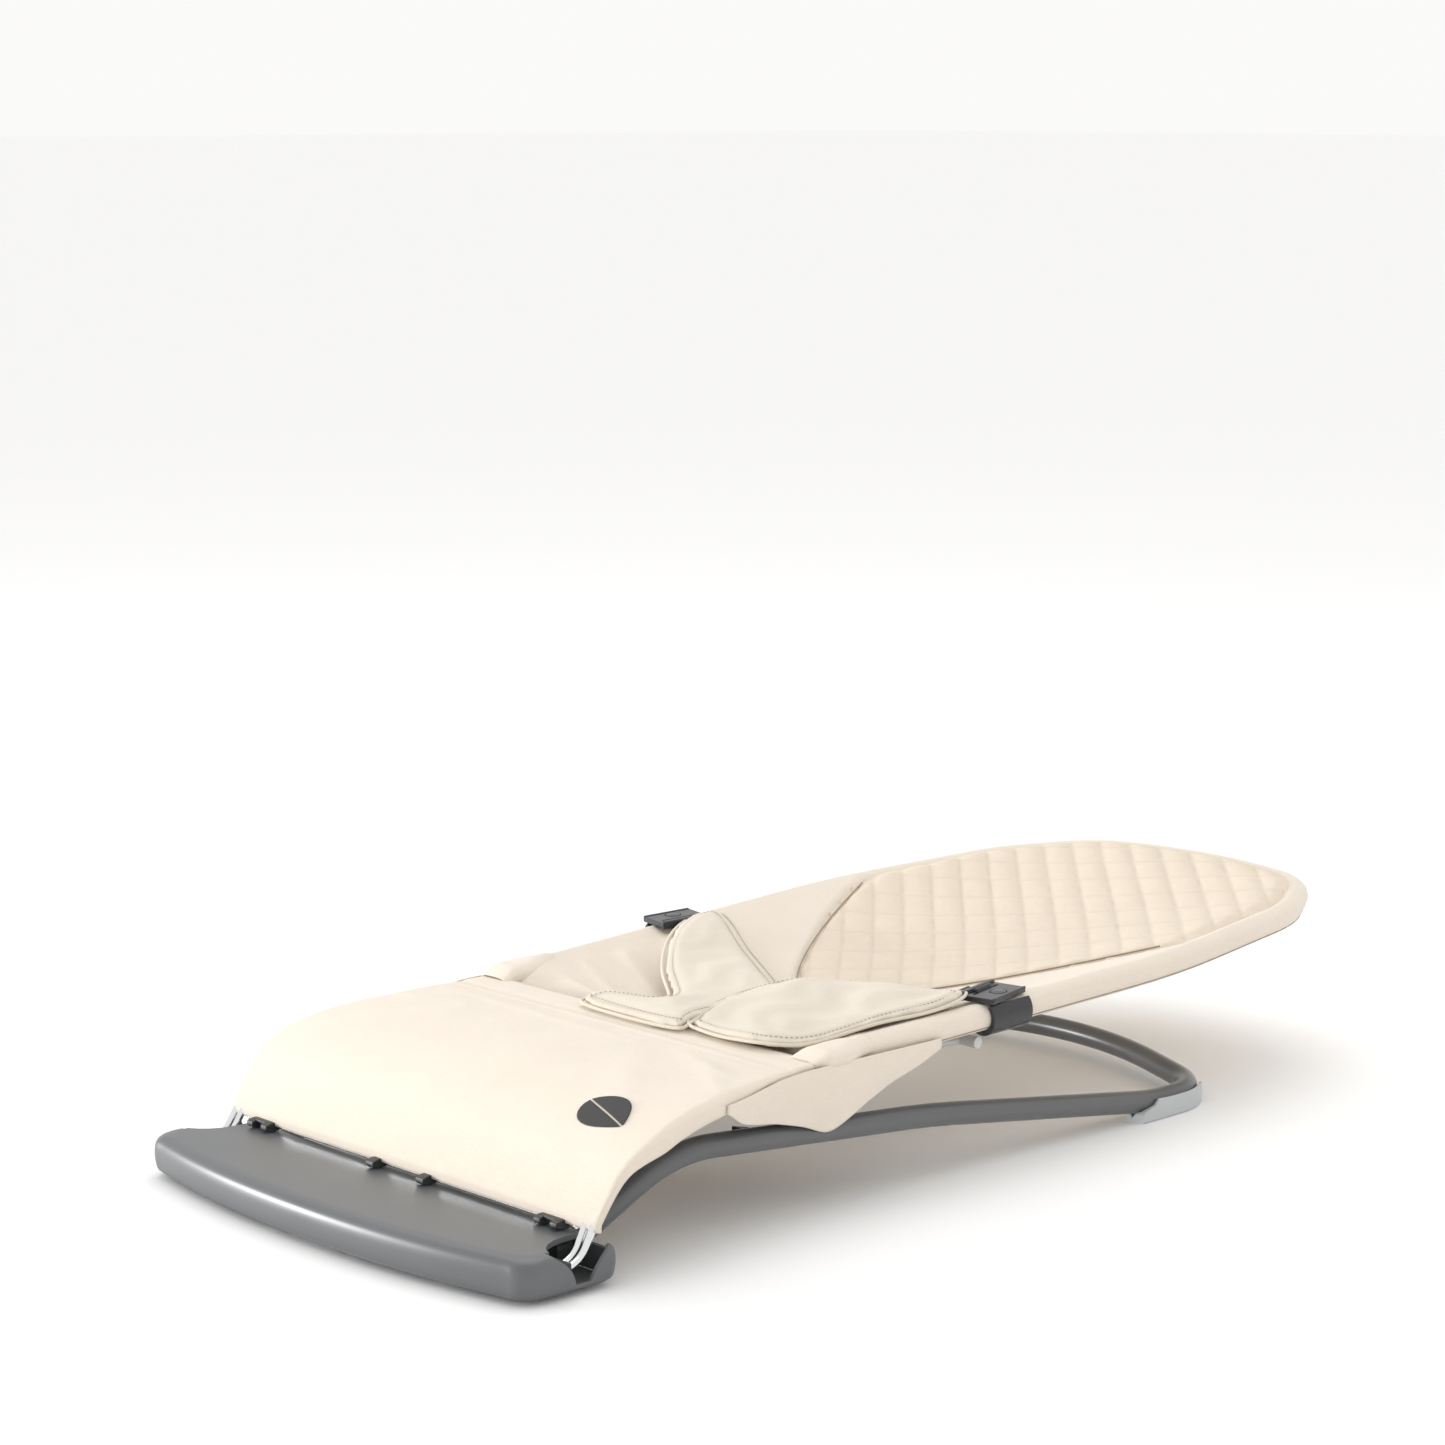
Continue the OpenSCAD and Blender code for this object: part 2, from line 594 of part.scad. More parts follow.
// Pin of the strut, with a head on its inner end
strut_eye_x0 = strut_x - strut_arm_d / 2 - 1;
strut_eye_x1 = cheek_in - gap;
module strut_pin() {
  x_bar(strut_eye_x0 - gap, cheek_in + 3, strut_y, strut_z, pin_d);
  x_bar(strut_eye_x0 - gap - 2, strut_eye_x0 - gap, strut_y, strut_z, pin_d + 4);
}
module strut_pin_left() { color(steel) from_front() strut_pin(); }
module strut_pin_right() { color(steel) from_front() right_hand() strut_pin(); }

// ---- Strut ----
module strut_frame() {
  from_front() translate([0, strut_y, strut_z]) rotate([-strut_drop, 0, 0]) children();
}
module strut_arm() {
  difference() {
    union() {
      x_bar(strut_eye_x0, strut_eye_x1, 0, 0, pin_d + 8);
      translate([strut_x, 5, 0]) rotate([-90, 0, 0])
        cylinder(d = strut_arm_d, h = strut_l - 5 - strut_bar_d / 2 + 0.6);
    }
    x_bar(0, rail_x, 0, 0, pin_d + 2 * run_gap);
    x_bar(strut_x - 9, rail_x, strut_l, 0, strut_bar_d);
  }
}
module strut_arm_left() { color(steel) strut_frame() strut_arm(); }
module strut_arm_right() { color(steel) strut_frame() right_hand() strut_arm(); }
// The bar dips between the arms, to stay clear of the seat cloth
bar_dip = 16;
bar_half = [
  [strut_bar_end, strut_l, 0], [strut_x - 9, strut_l, 0], [strut_x - 34, strut_l, -bar_dip]];
function flip_x(p) = [for (i = [len(p) - 1 : -1 : 0]) [-p[i].x, p[i].y, p[i].z]];
module strut_bar() {
  color(steel) strut_frame()
    bent_tube(concat(bar_half, flip_x(bar_half)), [0, 12, 12, 12, 12, 0], strut_bar_d / 2);
}
// Grip sleeves on the middle of the bar
module strut_grips() {
  color(charcoal) strut_frame() for (x = [-45, 45])
    difference() {
      translate([0, 0, -bar_dip]) x_bar(x - 32, x + 32, strut_l, 0, strut_bar_d + 4);
      translate([0, 0, -bar_dip]) x_bar(x - 33, x + 33, strut_l, 0, strut_bar_d + 0.1);
    }
}

// ---- Seat hoop ----
hoop_v = (overall_l - pin_y - 0.5) / cos(seat_tilt);
sleeve_r = seat_d / 2 + sleeve_t;
hoop_end_v = hoop_v - sleeve_r;
hoop_side_v = hoop_v - 255;
// The head end is an arc of radius head_r between two corners at head_x
head_x = rail_x - 58;
head_slope = 12;
head_r = 300;
head_v = hoop_end_v + head_r * (1 / cos(head_slope) - 1) - head_x * tan(head_slope);
plug_v = 14;
// Where the rail's centre line runs at a distance v from the pin, along its first straight
function rail_at(v) = rail_x + rail_spread * (v + 7) / (hoop_side_v + 7);
rail_spread = 12;
rail_splay = atan(rail_spread / (hoop_side_v + 7));
hoop_half = [
  [rail_at(plug_v), plug_v, 0],
  [rail_x + rail_spread, hoop_side_v, 0],
  [rail_x - 14, hoop_v - 95, 0],
  [head_x, head_v, 0],
  [0, head_v + head_x * tan(head_slope), 0]
];
hoop_radii = [0, 500, 120, 70, head_r];
module seat_hoop() {
  color(steel) seat_frame()
    bent_tube(mirror_path(hoop_half), mirror_radii(hoop_radii), seat_d / 2, seat_d / 2 - tube_wall);
}

// Moulded end of a rail: a spigot in the tube, and an eye that turns on the rail pin
plug_l = 24;
module rail_plug() {
  difference() {
    translate([rail_at(0), 0, 0]) rotate([0, 0, -rail_splay]) {
      translate([0, -7, 0]) rotate([-90, 0, 0]) cylinder(d = seat_d, h = plug_v + 6.9);
      translate([0, plug_v - 1, 0]) rotate([-90, 0, 0])
        cylinder(r = (seat_d / 2 - tube_wall) * cos(180 / tube_sides) - 0.05, h = plug_l);
    }
    x_bar(0, foot_w / 2, 0, 0, pin_d + 2 * run_gap);
  }
}
module rail_plug_left() { color(charcoal) seat_frame() rail_plug(); }
module rail_plug_right() { color(charcoal) seat_frame() right_hand() rail_plug(); }

sleeve_v = plug_v + 6;
sleeve_half = concat([[rail_at(sleeve_v), sleeve_v, 0]], [for (i = [1 : 4]) hoop_half[i]]);
module rail_sleeve() {
  color(cream) seat_frame()
    bent_tube(mirror_path(sleeve_half), mirror_radii(hoop_radii), sleeve_r, seat_d / 2 + 0.05);
}

// ---- Seat and back cloth, in the seat frame ----
// Half width inside the rail sleeves at a distance v from the pins
function cloth_half(v) = rail_x - sleeve_r - gap
  + 10 * max(0, min(1, v / (hoop_v - 285)))
  - 25 * pow(max(0, (v - hoop_v + 285) / 180), 1.6)
  - 21 * pow(max(0, (v - hoop_v + 105) / 60), 1.6);
function cloth_sag(v) =
  sag * sin(180 * pow(max(0.001, min(1, (v + sag_start) / (hoop_end_v + sag_start))), 0.5));
function seam_v(x) = 136 + 224 * pow(abs(x) / rail_x, 1.5);
cloth_top = 9.6;
sag_start = 40;
cloth_cols = 12;
// Height of the cloth at a share u of the half width
function cloth_w(u, v) = cloth_top - cloth_sag(v) * (1 - pow(abs(u), 2.2));
sling_front = -12;
sling_rows = 14;
function sling_grid(drop) = [for (i = [0 : sling_rows])
  [for (j = [-cloth_cols : cloth_cols]) let (
    u = j / cloth_cols,
    seam = seam_v(u * rail_x) - 0.5,
    v = sling_front + (seam - sling_front) * i / sling_rows)
    [u * cloth_half(v), v, cloth_w(u, v) - drop]]];
module seat_sling() { color(cream) seat_frame() grid_solid(sling_grid(0), sling_grid(cloth_t)); }

back_rows = 18;
back_end = hoop_end_v - sleeve_r - 4;
function back_grid(drop) = [for (i = [0 : back_rows])
  [for (j = [-cloth_cols : cloth_cols]) let (
    u = j / cloth_cols,
    seam = seam_v(u * rail_x) + 0.5,
    v = seam + (back_end - 22 * pow(abs(u), 3) - seam) * i / back_rows)
    [u * cloth_half(v), v, cloth_w(u, v) - drop]]];
module back_panel() { color(quilt_cream) seat_frame() grid_solid(back_grid(0), back_grid(quilt_t)); }

// ---- Harness ----
// Outline of the padded harness, from the knee to both buckles
bib_edge = rail_x - sleeve_r - 3;
bib_tip_v = buckle_v - 4;
stem_x = 54;
bib_half = [
  [stem_x, sling_front], [stem_x, 16], [bib_edge - 24, 20], [bib_edge - 3, 46], [bib_edge, 86],
  [bib_edge - 14, bib_tip_v - 24], [bib_edge - 17, bib_tip_v - 6], [bib_edge - 21, bib_tip_v + 14],
  [bib_edge - 50, bib_tip_v + 4]];
bib_outline = concat(bib_half, [[0, 106]], [for (i = [len(bib_half) - 1 : -1 : 0])
  [-bib_half[i].x, bib_half[i].y]]);
bib_w = cloth_top + 1;
module harness_bib() {
  color(cream) seat_frame() translate([0, 0, bib_w]) linear_extrude(bib_t) polygon(bib_outline);
}

// ---- Buckles, in a frame on the rail ----
buckle_turn = 10;
plate_low = sleeve_r + gap + 0.1;
buckle_x = rail_at(buckle_v);
clip_r = sleeve_r + 3;
module buckle_frame() {
  seat_frame() translate([buckle_x, buckle_v, 0]) children();
}
module plate_frame() {
  buckle_frame() rotate([0, 0, buckle_turn]) translate([4.5, 0, plate_low]) children();
}
module harness_strap() {
  buckle_frame() rotate([0, 0, buckle_turn])
    translate([-plate_w - 12, -10, bib_w + bib_t + gap]) cube([24, 20, 1.2]);
}
module harness_strap_left() { color(charcoal) harness_strap(); }
module harness_strap_right() { color(charcoal) right_hand() harness_strap(); }

// C-shaped clip round the outer side of the rail
module rail_clip() {
  buckle_frame() difference() {
    rotate([90, 0, -rail_splay]) translate([0, 0, -clip_l / 2]) linear_extrude(clip_l)
      difference() {
        circle(clip_r);
        circle(sleeve_r + 0.2);
        translate([-clip_r - 6, -clip_r - 1]) square([clip_r + 6, 2 * clip_r + 2]);
        rotate(-30) translate([-clip_r - 6, 0]) square([clip_r + 6, clip_r + 6]);
      }
    // clearance round the plate
    rotate([0, 0, buckle_turn]) translate([4.5 - plate_w - gap, -plate_l, plate_low - gap])
      cube([plate_w + 2 * gap, 2 * plate_l, 20]);
  }
}
module rail_clip_left() { color(charcoal) rail_clip(); }
module rail_clip_right() { color(charcoal) right_hand() rail_clip(); }

button_x = -10;
module buckle_plate() {
  plate_frame() difference() {
    translate([-plate_w, -plate_l / 2, 0]) cube([plate_w, plate_l, plate_t]);
    // two slots for the webbing
    for (x = [-plate_w + 4, -plate_w + 9])
      translate([x, -plate_l / 2 + 5, -1]) cube([2, plate_l - 10, plate_t + 2]);
    translate([button_x, 0, 1.4]) cylinder(d = button_d + 0.3, h = plate_t);
  }
}
module buckle_plate_left() { color(charcoal) buckle_plate(); }
module buckle_plate_right() { color(charcoal) right_hand() buckle_plate(); }

module buckle_button() {
  plate_frame() translate([button_x, 0, 3.2]) cylinder(d = button_d, h = plate_t - 2.6);
}
module buckle_button_left() { color(charcoal) buckle_button(); }
module buckle_button_right() { color(charcoal) right_hand() buckle_button(); }

// ---- One line per node ----
foot_cover();
foot_tray();
foot_center_pad();
foot_pad_left();
foot_pad_right();
foot_screws();
hinge_shaft();
tube_clamp_left();
tube_clamp_right();
base_tube();
rear_foot_left();
rear_foot_right();
rack_left();
rack_right();
rack_screws();
rod_anchor_left();
rod_anchor_right();
rod_outer_left();
rod_outer_right();
rod_inner_left();
rod_inner_right();
hem_wire();
hem_clip_left();
hem_clip_right();
hem_studs();
knee_bracket_left();
knee_bracket_right();
knee_bar();
rail_pin_left();
rail_pin_right();
strut_pin_left();
strut_pin_right();
front_panel();
side_flap_left();
side_flap_right();
strut_arm_left();
strut_arm_right();
strut_bar();
strut_grips();
seat_hoop();
rail_plug_left();
rail_plug_right();
rail_sleeve();
seat_sling();
back_panel();
harness_bib();
harness_strap_left();
harness_strap_right();
rail_clip_left();
rail_clip_right();
buckle_plate_left();
buckle_plate_right();
buckle_button_left();
buckle_button_right();
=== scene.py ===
import math

import bmesh
import bpy
import numpy as np
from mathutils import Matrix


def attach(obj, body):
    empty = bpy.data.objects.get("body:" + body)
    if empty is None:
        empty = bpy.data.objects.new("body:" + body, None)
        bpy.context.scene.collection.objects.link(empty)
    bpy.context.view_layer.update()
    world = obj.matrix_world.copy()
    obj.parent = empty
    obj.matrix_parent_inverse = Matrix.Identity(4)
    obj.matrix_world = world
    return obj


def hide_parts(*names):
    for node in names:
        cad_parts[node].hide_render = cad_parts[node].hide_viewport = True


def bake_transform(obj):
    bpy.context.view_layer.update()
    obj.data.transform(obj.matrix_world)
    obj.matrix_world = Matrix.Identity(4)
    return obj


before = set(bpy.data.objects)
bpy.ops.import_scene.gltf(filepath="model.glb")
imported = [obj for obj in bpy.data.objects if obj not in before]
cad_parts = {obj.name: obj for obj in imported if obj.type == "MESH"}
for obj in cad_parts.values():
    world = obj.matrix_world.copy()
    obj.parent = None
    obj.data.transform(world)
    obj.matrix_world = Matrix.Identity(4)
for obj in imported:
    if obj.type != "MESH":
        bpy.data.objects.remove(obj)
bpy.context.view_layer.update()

# ---- Studio ----
# A plain pale floor under soft light from large panels, and the camera at a low three-quarter
# angle in front of the foot's left end.
CAMERA_AT = (1.84415, -1.79493, 0.71404)
CAMERA_TURN = math.radians(47.139)
CAMERA_DROP = math.radians(9.480)
camera_data = bpy.data.cameras.new("camera")
camera_data.lens = 92.952
camera_data.sensor_width = 36.0
camera = bpy.data.objects.new("camera", camera_data)
camera.location = CAMERA_AT
camera.rotation_euler = (math.pi / 2 - CAMERA_DROP, 0, CAMERA_TURN)
bpy.context.collection.objects.link(camera)
bpy.context.scene.camera = camera
bpy.context.scene.view_settings.view_transform = "Standard"


def new_material(name, colour, roughness, **sockets):
    """A Principled material; the other sockets are given by name with _ for each blank."""
    material = bpy.data.materials.new(name)
    material.use_nodes = True
    shader = material.node_tree.nodes["Principled BSDF"]
    shader.inputs["Base Color"].default_value = (*colour, 1)
    shader.inputs["Roughness"].default_value = roughness
    for socket, value in sockets.items():
        shader.inputs[socket.replace("_", " ")].default_value = value
    return material, material.node_tree, shader


def add_node(tree, kind, settings=None, **values):
    """A shader node; settings are its properties, values its inputs with _ for each blank."""
    node = tree.nodes.new("ShaderNode" + kind)
    for field, value in (settings or {}).items():
        setattr(node, field, value)
    for socket, value in values.items():
        node.inputs[socket.replace("_", " ")].default_value = value
    return node


def new_piece(name, points, faces, material, smooth=True):
    """An object at the origin from an array of points and an array or list of faces."""
    mesh = bpy.data.meshes.new(name)
    mesh.from_pydata(np.asarray(points).reshape(-1, 3), [], [list(f) for f in faces])
    mesh.update()
    mesh.materials.append(material)
    mesh.polygons.foreach_set("use_smooth", [smooth] * len(mesh.polygons))
    piece = bpy.data.objects.new(name, mesh)
    bpy.context.collection.objects.link(piece)
    return piece


SIDES = (("left", 1), ("right", -1))
floor_paint, _, _ = new_material("floor_paint", (0.97, 0.97, 0.97), 0.9)
FLOOR_HALF = 60.0
floor = new_piece(
    "floor",
    [(-FLOOR_HALF, -FLOOR_HALF, 0), (FLOOR_HALF, -FLOOR_HALF, 0),
     (FLOOR_HALF, FLOOR_HALF, 0), (-FLOOR_HALF, FLOOR_HALF, 0)],
    [(0, 1, 2, 3)], floor_paint, smooth=False)

world = bpy.data.worlds.new("studio")
world.use_nodes = True
world.node_tree.nodes["Background"].inputs["Color"].default_value = (1.0, 0.995, 0.985, 1)
world.node_tree.nodes["Background"].inputs["Strength"].default_value = 0.96
bpy.context.scene.world = world


def light_panel(name, at, size, power, towards=(0, 0, 0.05)):
    """A square area light aimed from its place at a point on the seat."""
    data = bpy.data.lights.new(name, "AREA")
    data.size = size
    data.energy = power
    lamp = bpy.data.objects.new(name, data)
    lamp.location = at
    aim = np.array(towards) - np.array(at)
    yaw = math.atan2(aim[1], aim[0]) - math.pi / 2
    pitch = math.atan2(aim[2], math.hypot(aim[0], aim[1])) + math.pi / 2
    lamp.rotation_euler = (pitch, 0, yaw)
    bpy.context.collection.objects.link(lamp)


light_panel("overhead_panel", (-0.6, 0.4, 2.4), 2.2, 16)
light_panel("low_front_panel", (-2.3, -2.2, 0.22), 0.8, 88, towards=(0, -0.4, 0.03))

# ---- Front foot ----
# Two moulded shells in slate grey polypropylene, screwed together from below. The front edge
# bows, each end has a notch for a pair of spring rods, and the base tube enters at the rear.
FRONT = -0.4475
FOOT_HALF = 0.198
FOOT_DEPTH = 0.096
FOOT_BOW = 0.022
FRONT_CORNER = 0.016
REAR_CORNER = 0.008


def moulded(name, colour, roughness, grain=2200.0, bump=0.12, wear=0.06, **sockets):
    """Moulded plastic or rubber: fine spark grain, slight cloudiness, and gloss that varies."""
    material, tree, shader = new_material(name, colour, roughness, **sockets)
    link = tree.links.new
    place = add_node(tree, "TexCoord")
    fine = add_node(tree, "TexNoise", Scale=grain, Detail=2)
    broad = add_node(tree, "TexNoise", Scale=22, Detail=5)
    tint = add_node(tree, "MapRange", To_Min=1 - wear * 1.6, To_Max=1 + wear * 1.6)
    shade = add_node(tree, "VectorMath", {"operation": "SCALE"})
    shade.inputs[0].default_value = colour
    gloss = add_node(tree, "MapRange", To_Min=roughness - wear, To_Max=roughness + wear)
    relief = add_node(tree, "Bump", Strength=bump, Distance=0.0002)
    link(place.outputs["Object"], fine.inputs["Vector"])
    link(place.outputs["Object"], broad.inputs["Vector"])
    link(broad.outputs["Fac"], tint.inputs["Value"])
    link(broad.outputs["Fac"], gloss.inputs["Value"])
    link(tint.outputs["Result"], shade.inputs["Scale"])
    link(shade.outputs["Vector"], shader.inputs["Base Color"])
    link(gloss.outputs["Result"], shader.inputs["Roughness"])
    link(fine.outputs["Fac"], relief.inputs["Height"])
    link(relief.outputs["Normal"], shader.inputs["Normal"])
    return material


foot_plastic = moulded("foot_plastic", (0.105, 0.110, 0.115), 0.38, bump=0.08,
                       Specular_IOR_Level=0.75)


def arc(centre, radius, first, last, count):
    """Points of a circle's arc, from one angle in degrees to another."""
    a = np.radians(np.linspace(first, last, count))
    return np.stack([centre[0] + radius * np.cos(a), centre[1] + radius * np.sin(a)], 1)


def foot_outline(inset):
    """The foot in plan: the front edge falls back as the 2.2th power of the distance from the
    middle, the ends are straight, and arcs round the four corners. Inset moves it inwards."""
    half = FOOT_HALF - inset
    rear = FOOT_DEPTH - inset
    x = np.linspace(-(half - FRONT_CORNER), half - FRONT_CORNER, 61)
    y = inset + FOOT_BOW * (np.abs(x) / FOOT_HALF) ** 2.2
    end = y[-1] + FRONT_CORNER
    right = arc((half - FRONT_CORNER, end), FRONT_CORNER, -80, 0, 9)
    back = arc((half - REAR_CORNER, rear - REAR_CORNER), REAR_CORNER, 0, 90, 6)
    mirrored = [np.stack([-p[::-1, 0], p[::-1, 1]], 1) for p in (back, right)]
    plan = np.vstack([np.stack([x, y], 1), right, back, *mirrored])
    return plan + (0, FRONT)


def stacked(name, insets_and_heights, material):
    """A closed shell from plan outlines stacked at given heights, capped below and above."""
    plans = [(foot_outline(inset), z) for inset, z in insets_and_heights]
    rings = np.array([np.column_stack([plan, np.full(len(plan), z)]) for plan, z in plans])
    return skinned(name, rings, material, caps=True)


def grid_faces(rows, columns, closed):
    """Quads between neighbouring rows of a grid, joining the last column to the first if closed."""
    i = np.arange(rows - 1)[:, None]
    j = np.arange(columns if closed else columns - 1)[None, :]
    k = (j + 1) % columns
    quads = np.stack(np.broadcast_arrays(
        i * columns + j, i * columns + k, (i + 1) * columns + k, (i + 1) * columns + j), -1)
    return quads.reshape(-1, 4)


def skinned(name, grid, material, closed=True, caps=False, smooth=True):
    """A surface through a grid of points, one row after another, with flat ends if capped."""
    rows, columns = grid.shape[:2]
    faces = [tuple(q) for q in grid_faces(rows, columns, closed)]
    if caps:
        faces.append(tuple(range(columns - 1, -1, -1)))
        faces.append(tuple(range((rows - 1) * columns, rows * columns)))
    return new_piece(name, grid, faces, material, smooth)


def block(name, low, high):
    """A plain box between two corners, used only as a cutter."""
    corners = np.array([[(low, high)[(n >> axis) & 1][axis] for axis in range(3)]
                        for n in range(8)])
    faces = [(0, 2, 3, 1), (4, 5, 7, 6), (0, 1, 5, 4), (2, 6, 7, 3), (0, 4, 6, 2), (1, 3, 7, 5)]
    return new_piece(name, corners, faces, foot_plastic, smooth=False)


def settle(piece):
    """Makes the result of a piece's modifiers its own mesh."""
    graph = bpy.context.evaluated_depsgraph_get()
    done = bpy.data.meshes.new_from_object(piece.evaluated_get(graph))
    piece.modifiers.clear()
    piece.data = done


def cut_out(piece, cutters):
    """Cuts each cutter from the piece and removes the cutters."""
    for cutter in cutters:
        cut = piece.modifiers.new("cut", "BOOLEAN")
        cut.object = cutter
        cut.solver = "EXACT"
        settle(piece)
        bpy.data.objects.remove(cutter)


def soften(piece, width, angle=35, segments=2):
    """Rounds the hard edges of a piece and keeps its flats flat."""
    bevel = piece.modifiers.new("edge", "BEVEL")
    bevel.width = width
    bevel.segments = segments
    bevel.limit_method = "ANGLE"
    bevel.angle_limit = math.radians(angle)
    bevel.harden_normals = False
    settle(piece)
    piece.data.polygons.foreach_set("use_smooth", [True] * len(piece.data.polygons))
    weighted = piece.modifiers.new("flats", "WEIGHTED_NORMAL")
    weighted.keep_sharp = True
    settle(piece)


def prism(name, outline, low, high, axes):
    """An outline of two coordinates, extruded between two values of the third; cutters only."""
    flat = np.asarray(outline, float)
    grid = np.zeros((2, len(flat), 3))
    grid[:, :, axes[0]], grid[:, :, axes[1]] = flat[:, 0], flat[:, 1]
    grid[0, :, axes[2]], grid[1, :, axes[2]] = low, high
    piece = skinned(name, grid, foot_plastic, caps=True, smooth=False)
    turned_out(piece)
    return piece


def turned_out(piece):
    """Turns every face outwards."""
    shape = bmesh.new()
    shape.from_mesh(piece.data)
    bmesh.ops.recalc_face_normals(shape, faces=shape.faces)
    shape.to_mesh(piece.data)
    shape.free()


TUNNEL_IN, TUNNEL_OUT, TUNNEL_FRONT, TUNNEL_TOP = 0.139, 0.157, 0.080, 0.0266
NOTCH_PLAN = [(186, 47), (181, 50.5), (176, 56), (172.5, 63), (170.6, 72), (170, 84), (170, 110),
              (193, 110), (193, 47)]
CHEEK_GAP = [(61, 8.2), (59.5, 12), (57, 17), (53, 22), (48, 26), (41, 31.5), (93, 31.5), (87, 26),
             (82, 21), (77, 15), (72.5, 8.2)]


def foot_cuts():
    """Cutters for the cover: its hollow, the rods' notches, the slots through the ends that the
    rods swing past, and the tube's tunnels."""
    inside = foot_outline(0.0032)
    cuts = [prism("hollow", inside, -0.01, 0.0262, (0, 1, 2))]
    for side in (-1, 1):
        plan = np.array(NOTCH_PLAN) / 1000 * (side, 1) + (0, FRONT)
        cuts.append(prism("notch", plan, 0.0262 - 0.004, 0.05, (0, 1, 2)))
        gap_x = sorted((side * 0.188, side * 0.25))
        gap = np.array(CHEEK_GAP) / 1000 + (FRONT, 0)
        cuts.append(prism("gap", gap, *gap_x, (1, 2, 0)))
        tunnel_x = sorted((side * TUNNEL_IN, side * TUNNEL_OUT))
        cuts.append(block("tunnel", (tunnel_x[0], FRONT + TUNNEL_FRONT, -0.01),
                          (tunnel_x[1], FRONT + 0.13, TUNNEL_TOP)))
    return cuts


cover = stacked("foot_cover_shell", [
    (0.0026, 0.0056), (0.0018, 0.0060), (0.0010, 0.0078), (0.0004, 0.0110), (0.0, 0.0150),
    (0.0, 0.0190), (0.0003, 0.0220), (0.0010, 0.0246), (0.0022, 0.0267), (0.0040, 0.0282),
    (0.0062, 0.0292), (0.0090, 0.0297), (0.0130, 0.0299)], foot_plastic)
cut_out(cover, foot_cuts())
soften(cover, 0.0005)
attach(cover, "base")
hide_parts("foot_cover")

tray = stacked("foot_tray_shell", [
    (0.0100, 0.0030), (0.0070, 0.0031), (0.0046, 0.0037), (0.0034, 0.0047), (0.0034, 0.0055),
    (0.0046, 0.0057)], foot_plastic)
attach(tray, "base")
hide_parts("foot_tray")

pad_rubber = moulded("pad_rubber", (0.34, 0.355, 0.36), 0.5, grain=1400, bump=0.2)


def refinish(material, *nodes):
    """Gives CAD pieces whose shape is right their finish."""
    for node in nodes:
        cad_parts[node].data.materials.clear()
        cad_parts[node].data.materials.append(material)


refinish(pad_rubber, "foot_center_pad", "foot_pad_left", "foot_pad_right")

# ---- Base tube ----
# One steel tube with a satin slate powder coat. Both ends are clamped in the foot, the rails
# rise to a crest under the knees and run down to a bowed bar on the floor.
frame_paint = moulded("frame_paint", (0.125, 0.128, 0.132), 0.30, grain=1600, bump=0.08,
                      wear=0.05, Metallic=0.15)


def unit(v):
    return v / np.linalg.norm(v)


def rounded(corners, radii, step=math.radians(3)):
    """Centre line of a bent tube: straight legs, and at each corner an arc of the given radius
    that is tangent to both legs."""
    corners = np.asarray(corners, float)
    parts = [corners[:1]]
    for before, at, after, radius in zip(corners, corners[1:], corners[2:], radii[1:]):
        into, out_of = unit(at - before), unit(after - at)
        turn = math.acos(np.clip(into @ out_of, -1, 1))
        centre = at + unit(out_of - into) * radius / math.cos(turn / 2)
        outwards = unit(at - into * radius * math.tan(turn / 2) - centre)
        a = np.linspace(0, turn, max(3, int(turn / step) + 2))[:, None]
        parts.append(centre + radius * (outwards * np.cos(a) + into * np.sin(a)))
    return np.vstack(parts + [corners[-1:]])


def both_sides(half, radii):
    """A left half path joined to its mirror image, the middle corner shared."""
    half = np.asarray(half, float)
    return np.vstack([half, half[-2::-1] * (-1, 1, 1)]), list(radii) + list(radii[-2::-1])


def walked(path, step):
    """The same path with points at even steps along its length."""
    gaps = np.linalg.norm(np.diff(path, axis=0), axis=1)
    along = np.concatenate([[0], np.cumsum(gaps)])
    even = np.linspace(0, along[-1], max(2, int(along[-1] / step)))
    return np.stack([np.interp(even, along, path[:, k]) for k in range(3)], 1), even


def tube_frame(path):
    """Along, sideways and upward directions at each point of a path that is never upright."""
    along = np.gradient(path, axis=0)
    along /= np.linalg.norm(along, axis=1)[:, None]
    side = np.cross(along, (0, 0, 1))
    side /= np.linalg.norm(side, axis=1)[:, None]
    return along, side, np.cross(side, along)


def swept(name, path, radius, material, sides=28, round_ends=0.0):
    """A round bar along a path: each point carries a circle square to the path. Radius may be an
    array over path and angle. The ends close with a flat, after two shrinking rings if rounded."""
    _, side, up = tube_frame(path)
    a = np.linspace(0, 2 * math.pi, sides, endpoint=False)
    r = np.broadcast_to(radius, (len(path), sides))[..., None]
    ring = side[:, None] * np.cos(a)[None, :, None] + up[:, None] * np.sin(a)[None, :, None]
    grid = path[:, None] + r * ring
    if round_ends:
        for end, inner in ((0, 1), (-1, -2)):
            out = unit(path[end] - path[inner]) * round_ends
            caps = [path[end] + (grid[end] - path[end]) * k + out * m
                    for k, m in ((0.87, 0.5), (0.5, 0.87), (0.15, 1.0))]
            grid = np.vstack([np.array(caps[::-1]), grid] if end == 0 else [grid, np.array(caps)])
    return skinned(name, grid[:, ::-1], material, caps=True)


BASE_HALF = [(148, 60, 14), (148, 94, 14), (165, 168, 64), (165, 400, 44), (165, 628, 11),
             (163, 682, 11), (0, 738, 19)]
BASE_RADII = [0, 40, 90, 800, 200, 44, 300]


def from_foot(points):
    """Places in millimetres behind the foot's front edge, as metres in the object's frame."""
    return np.asarray(points, float) / 1000 + (0, FRONT, 0)


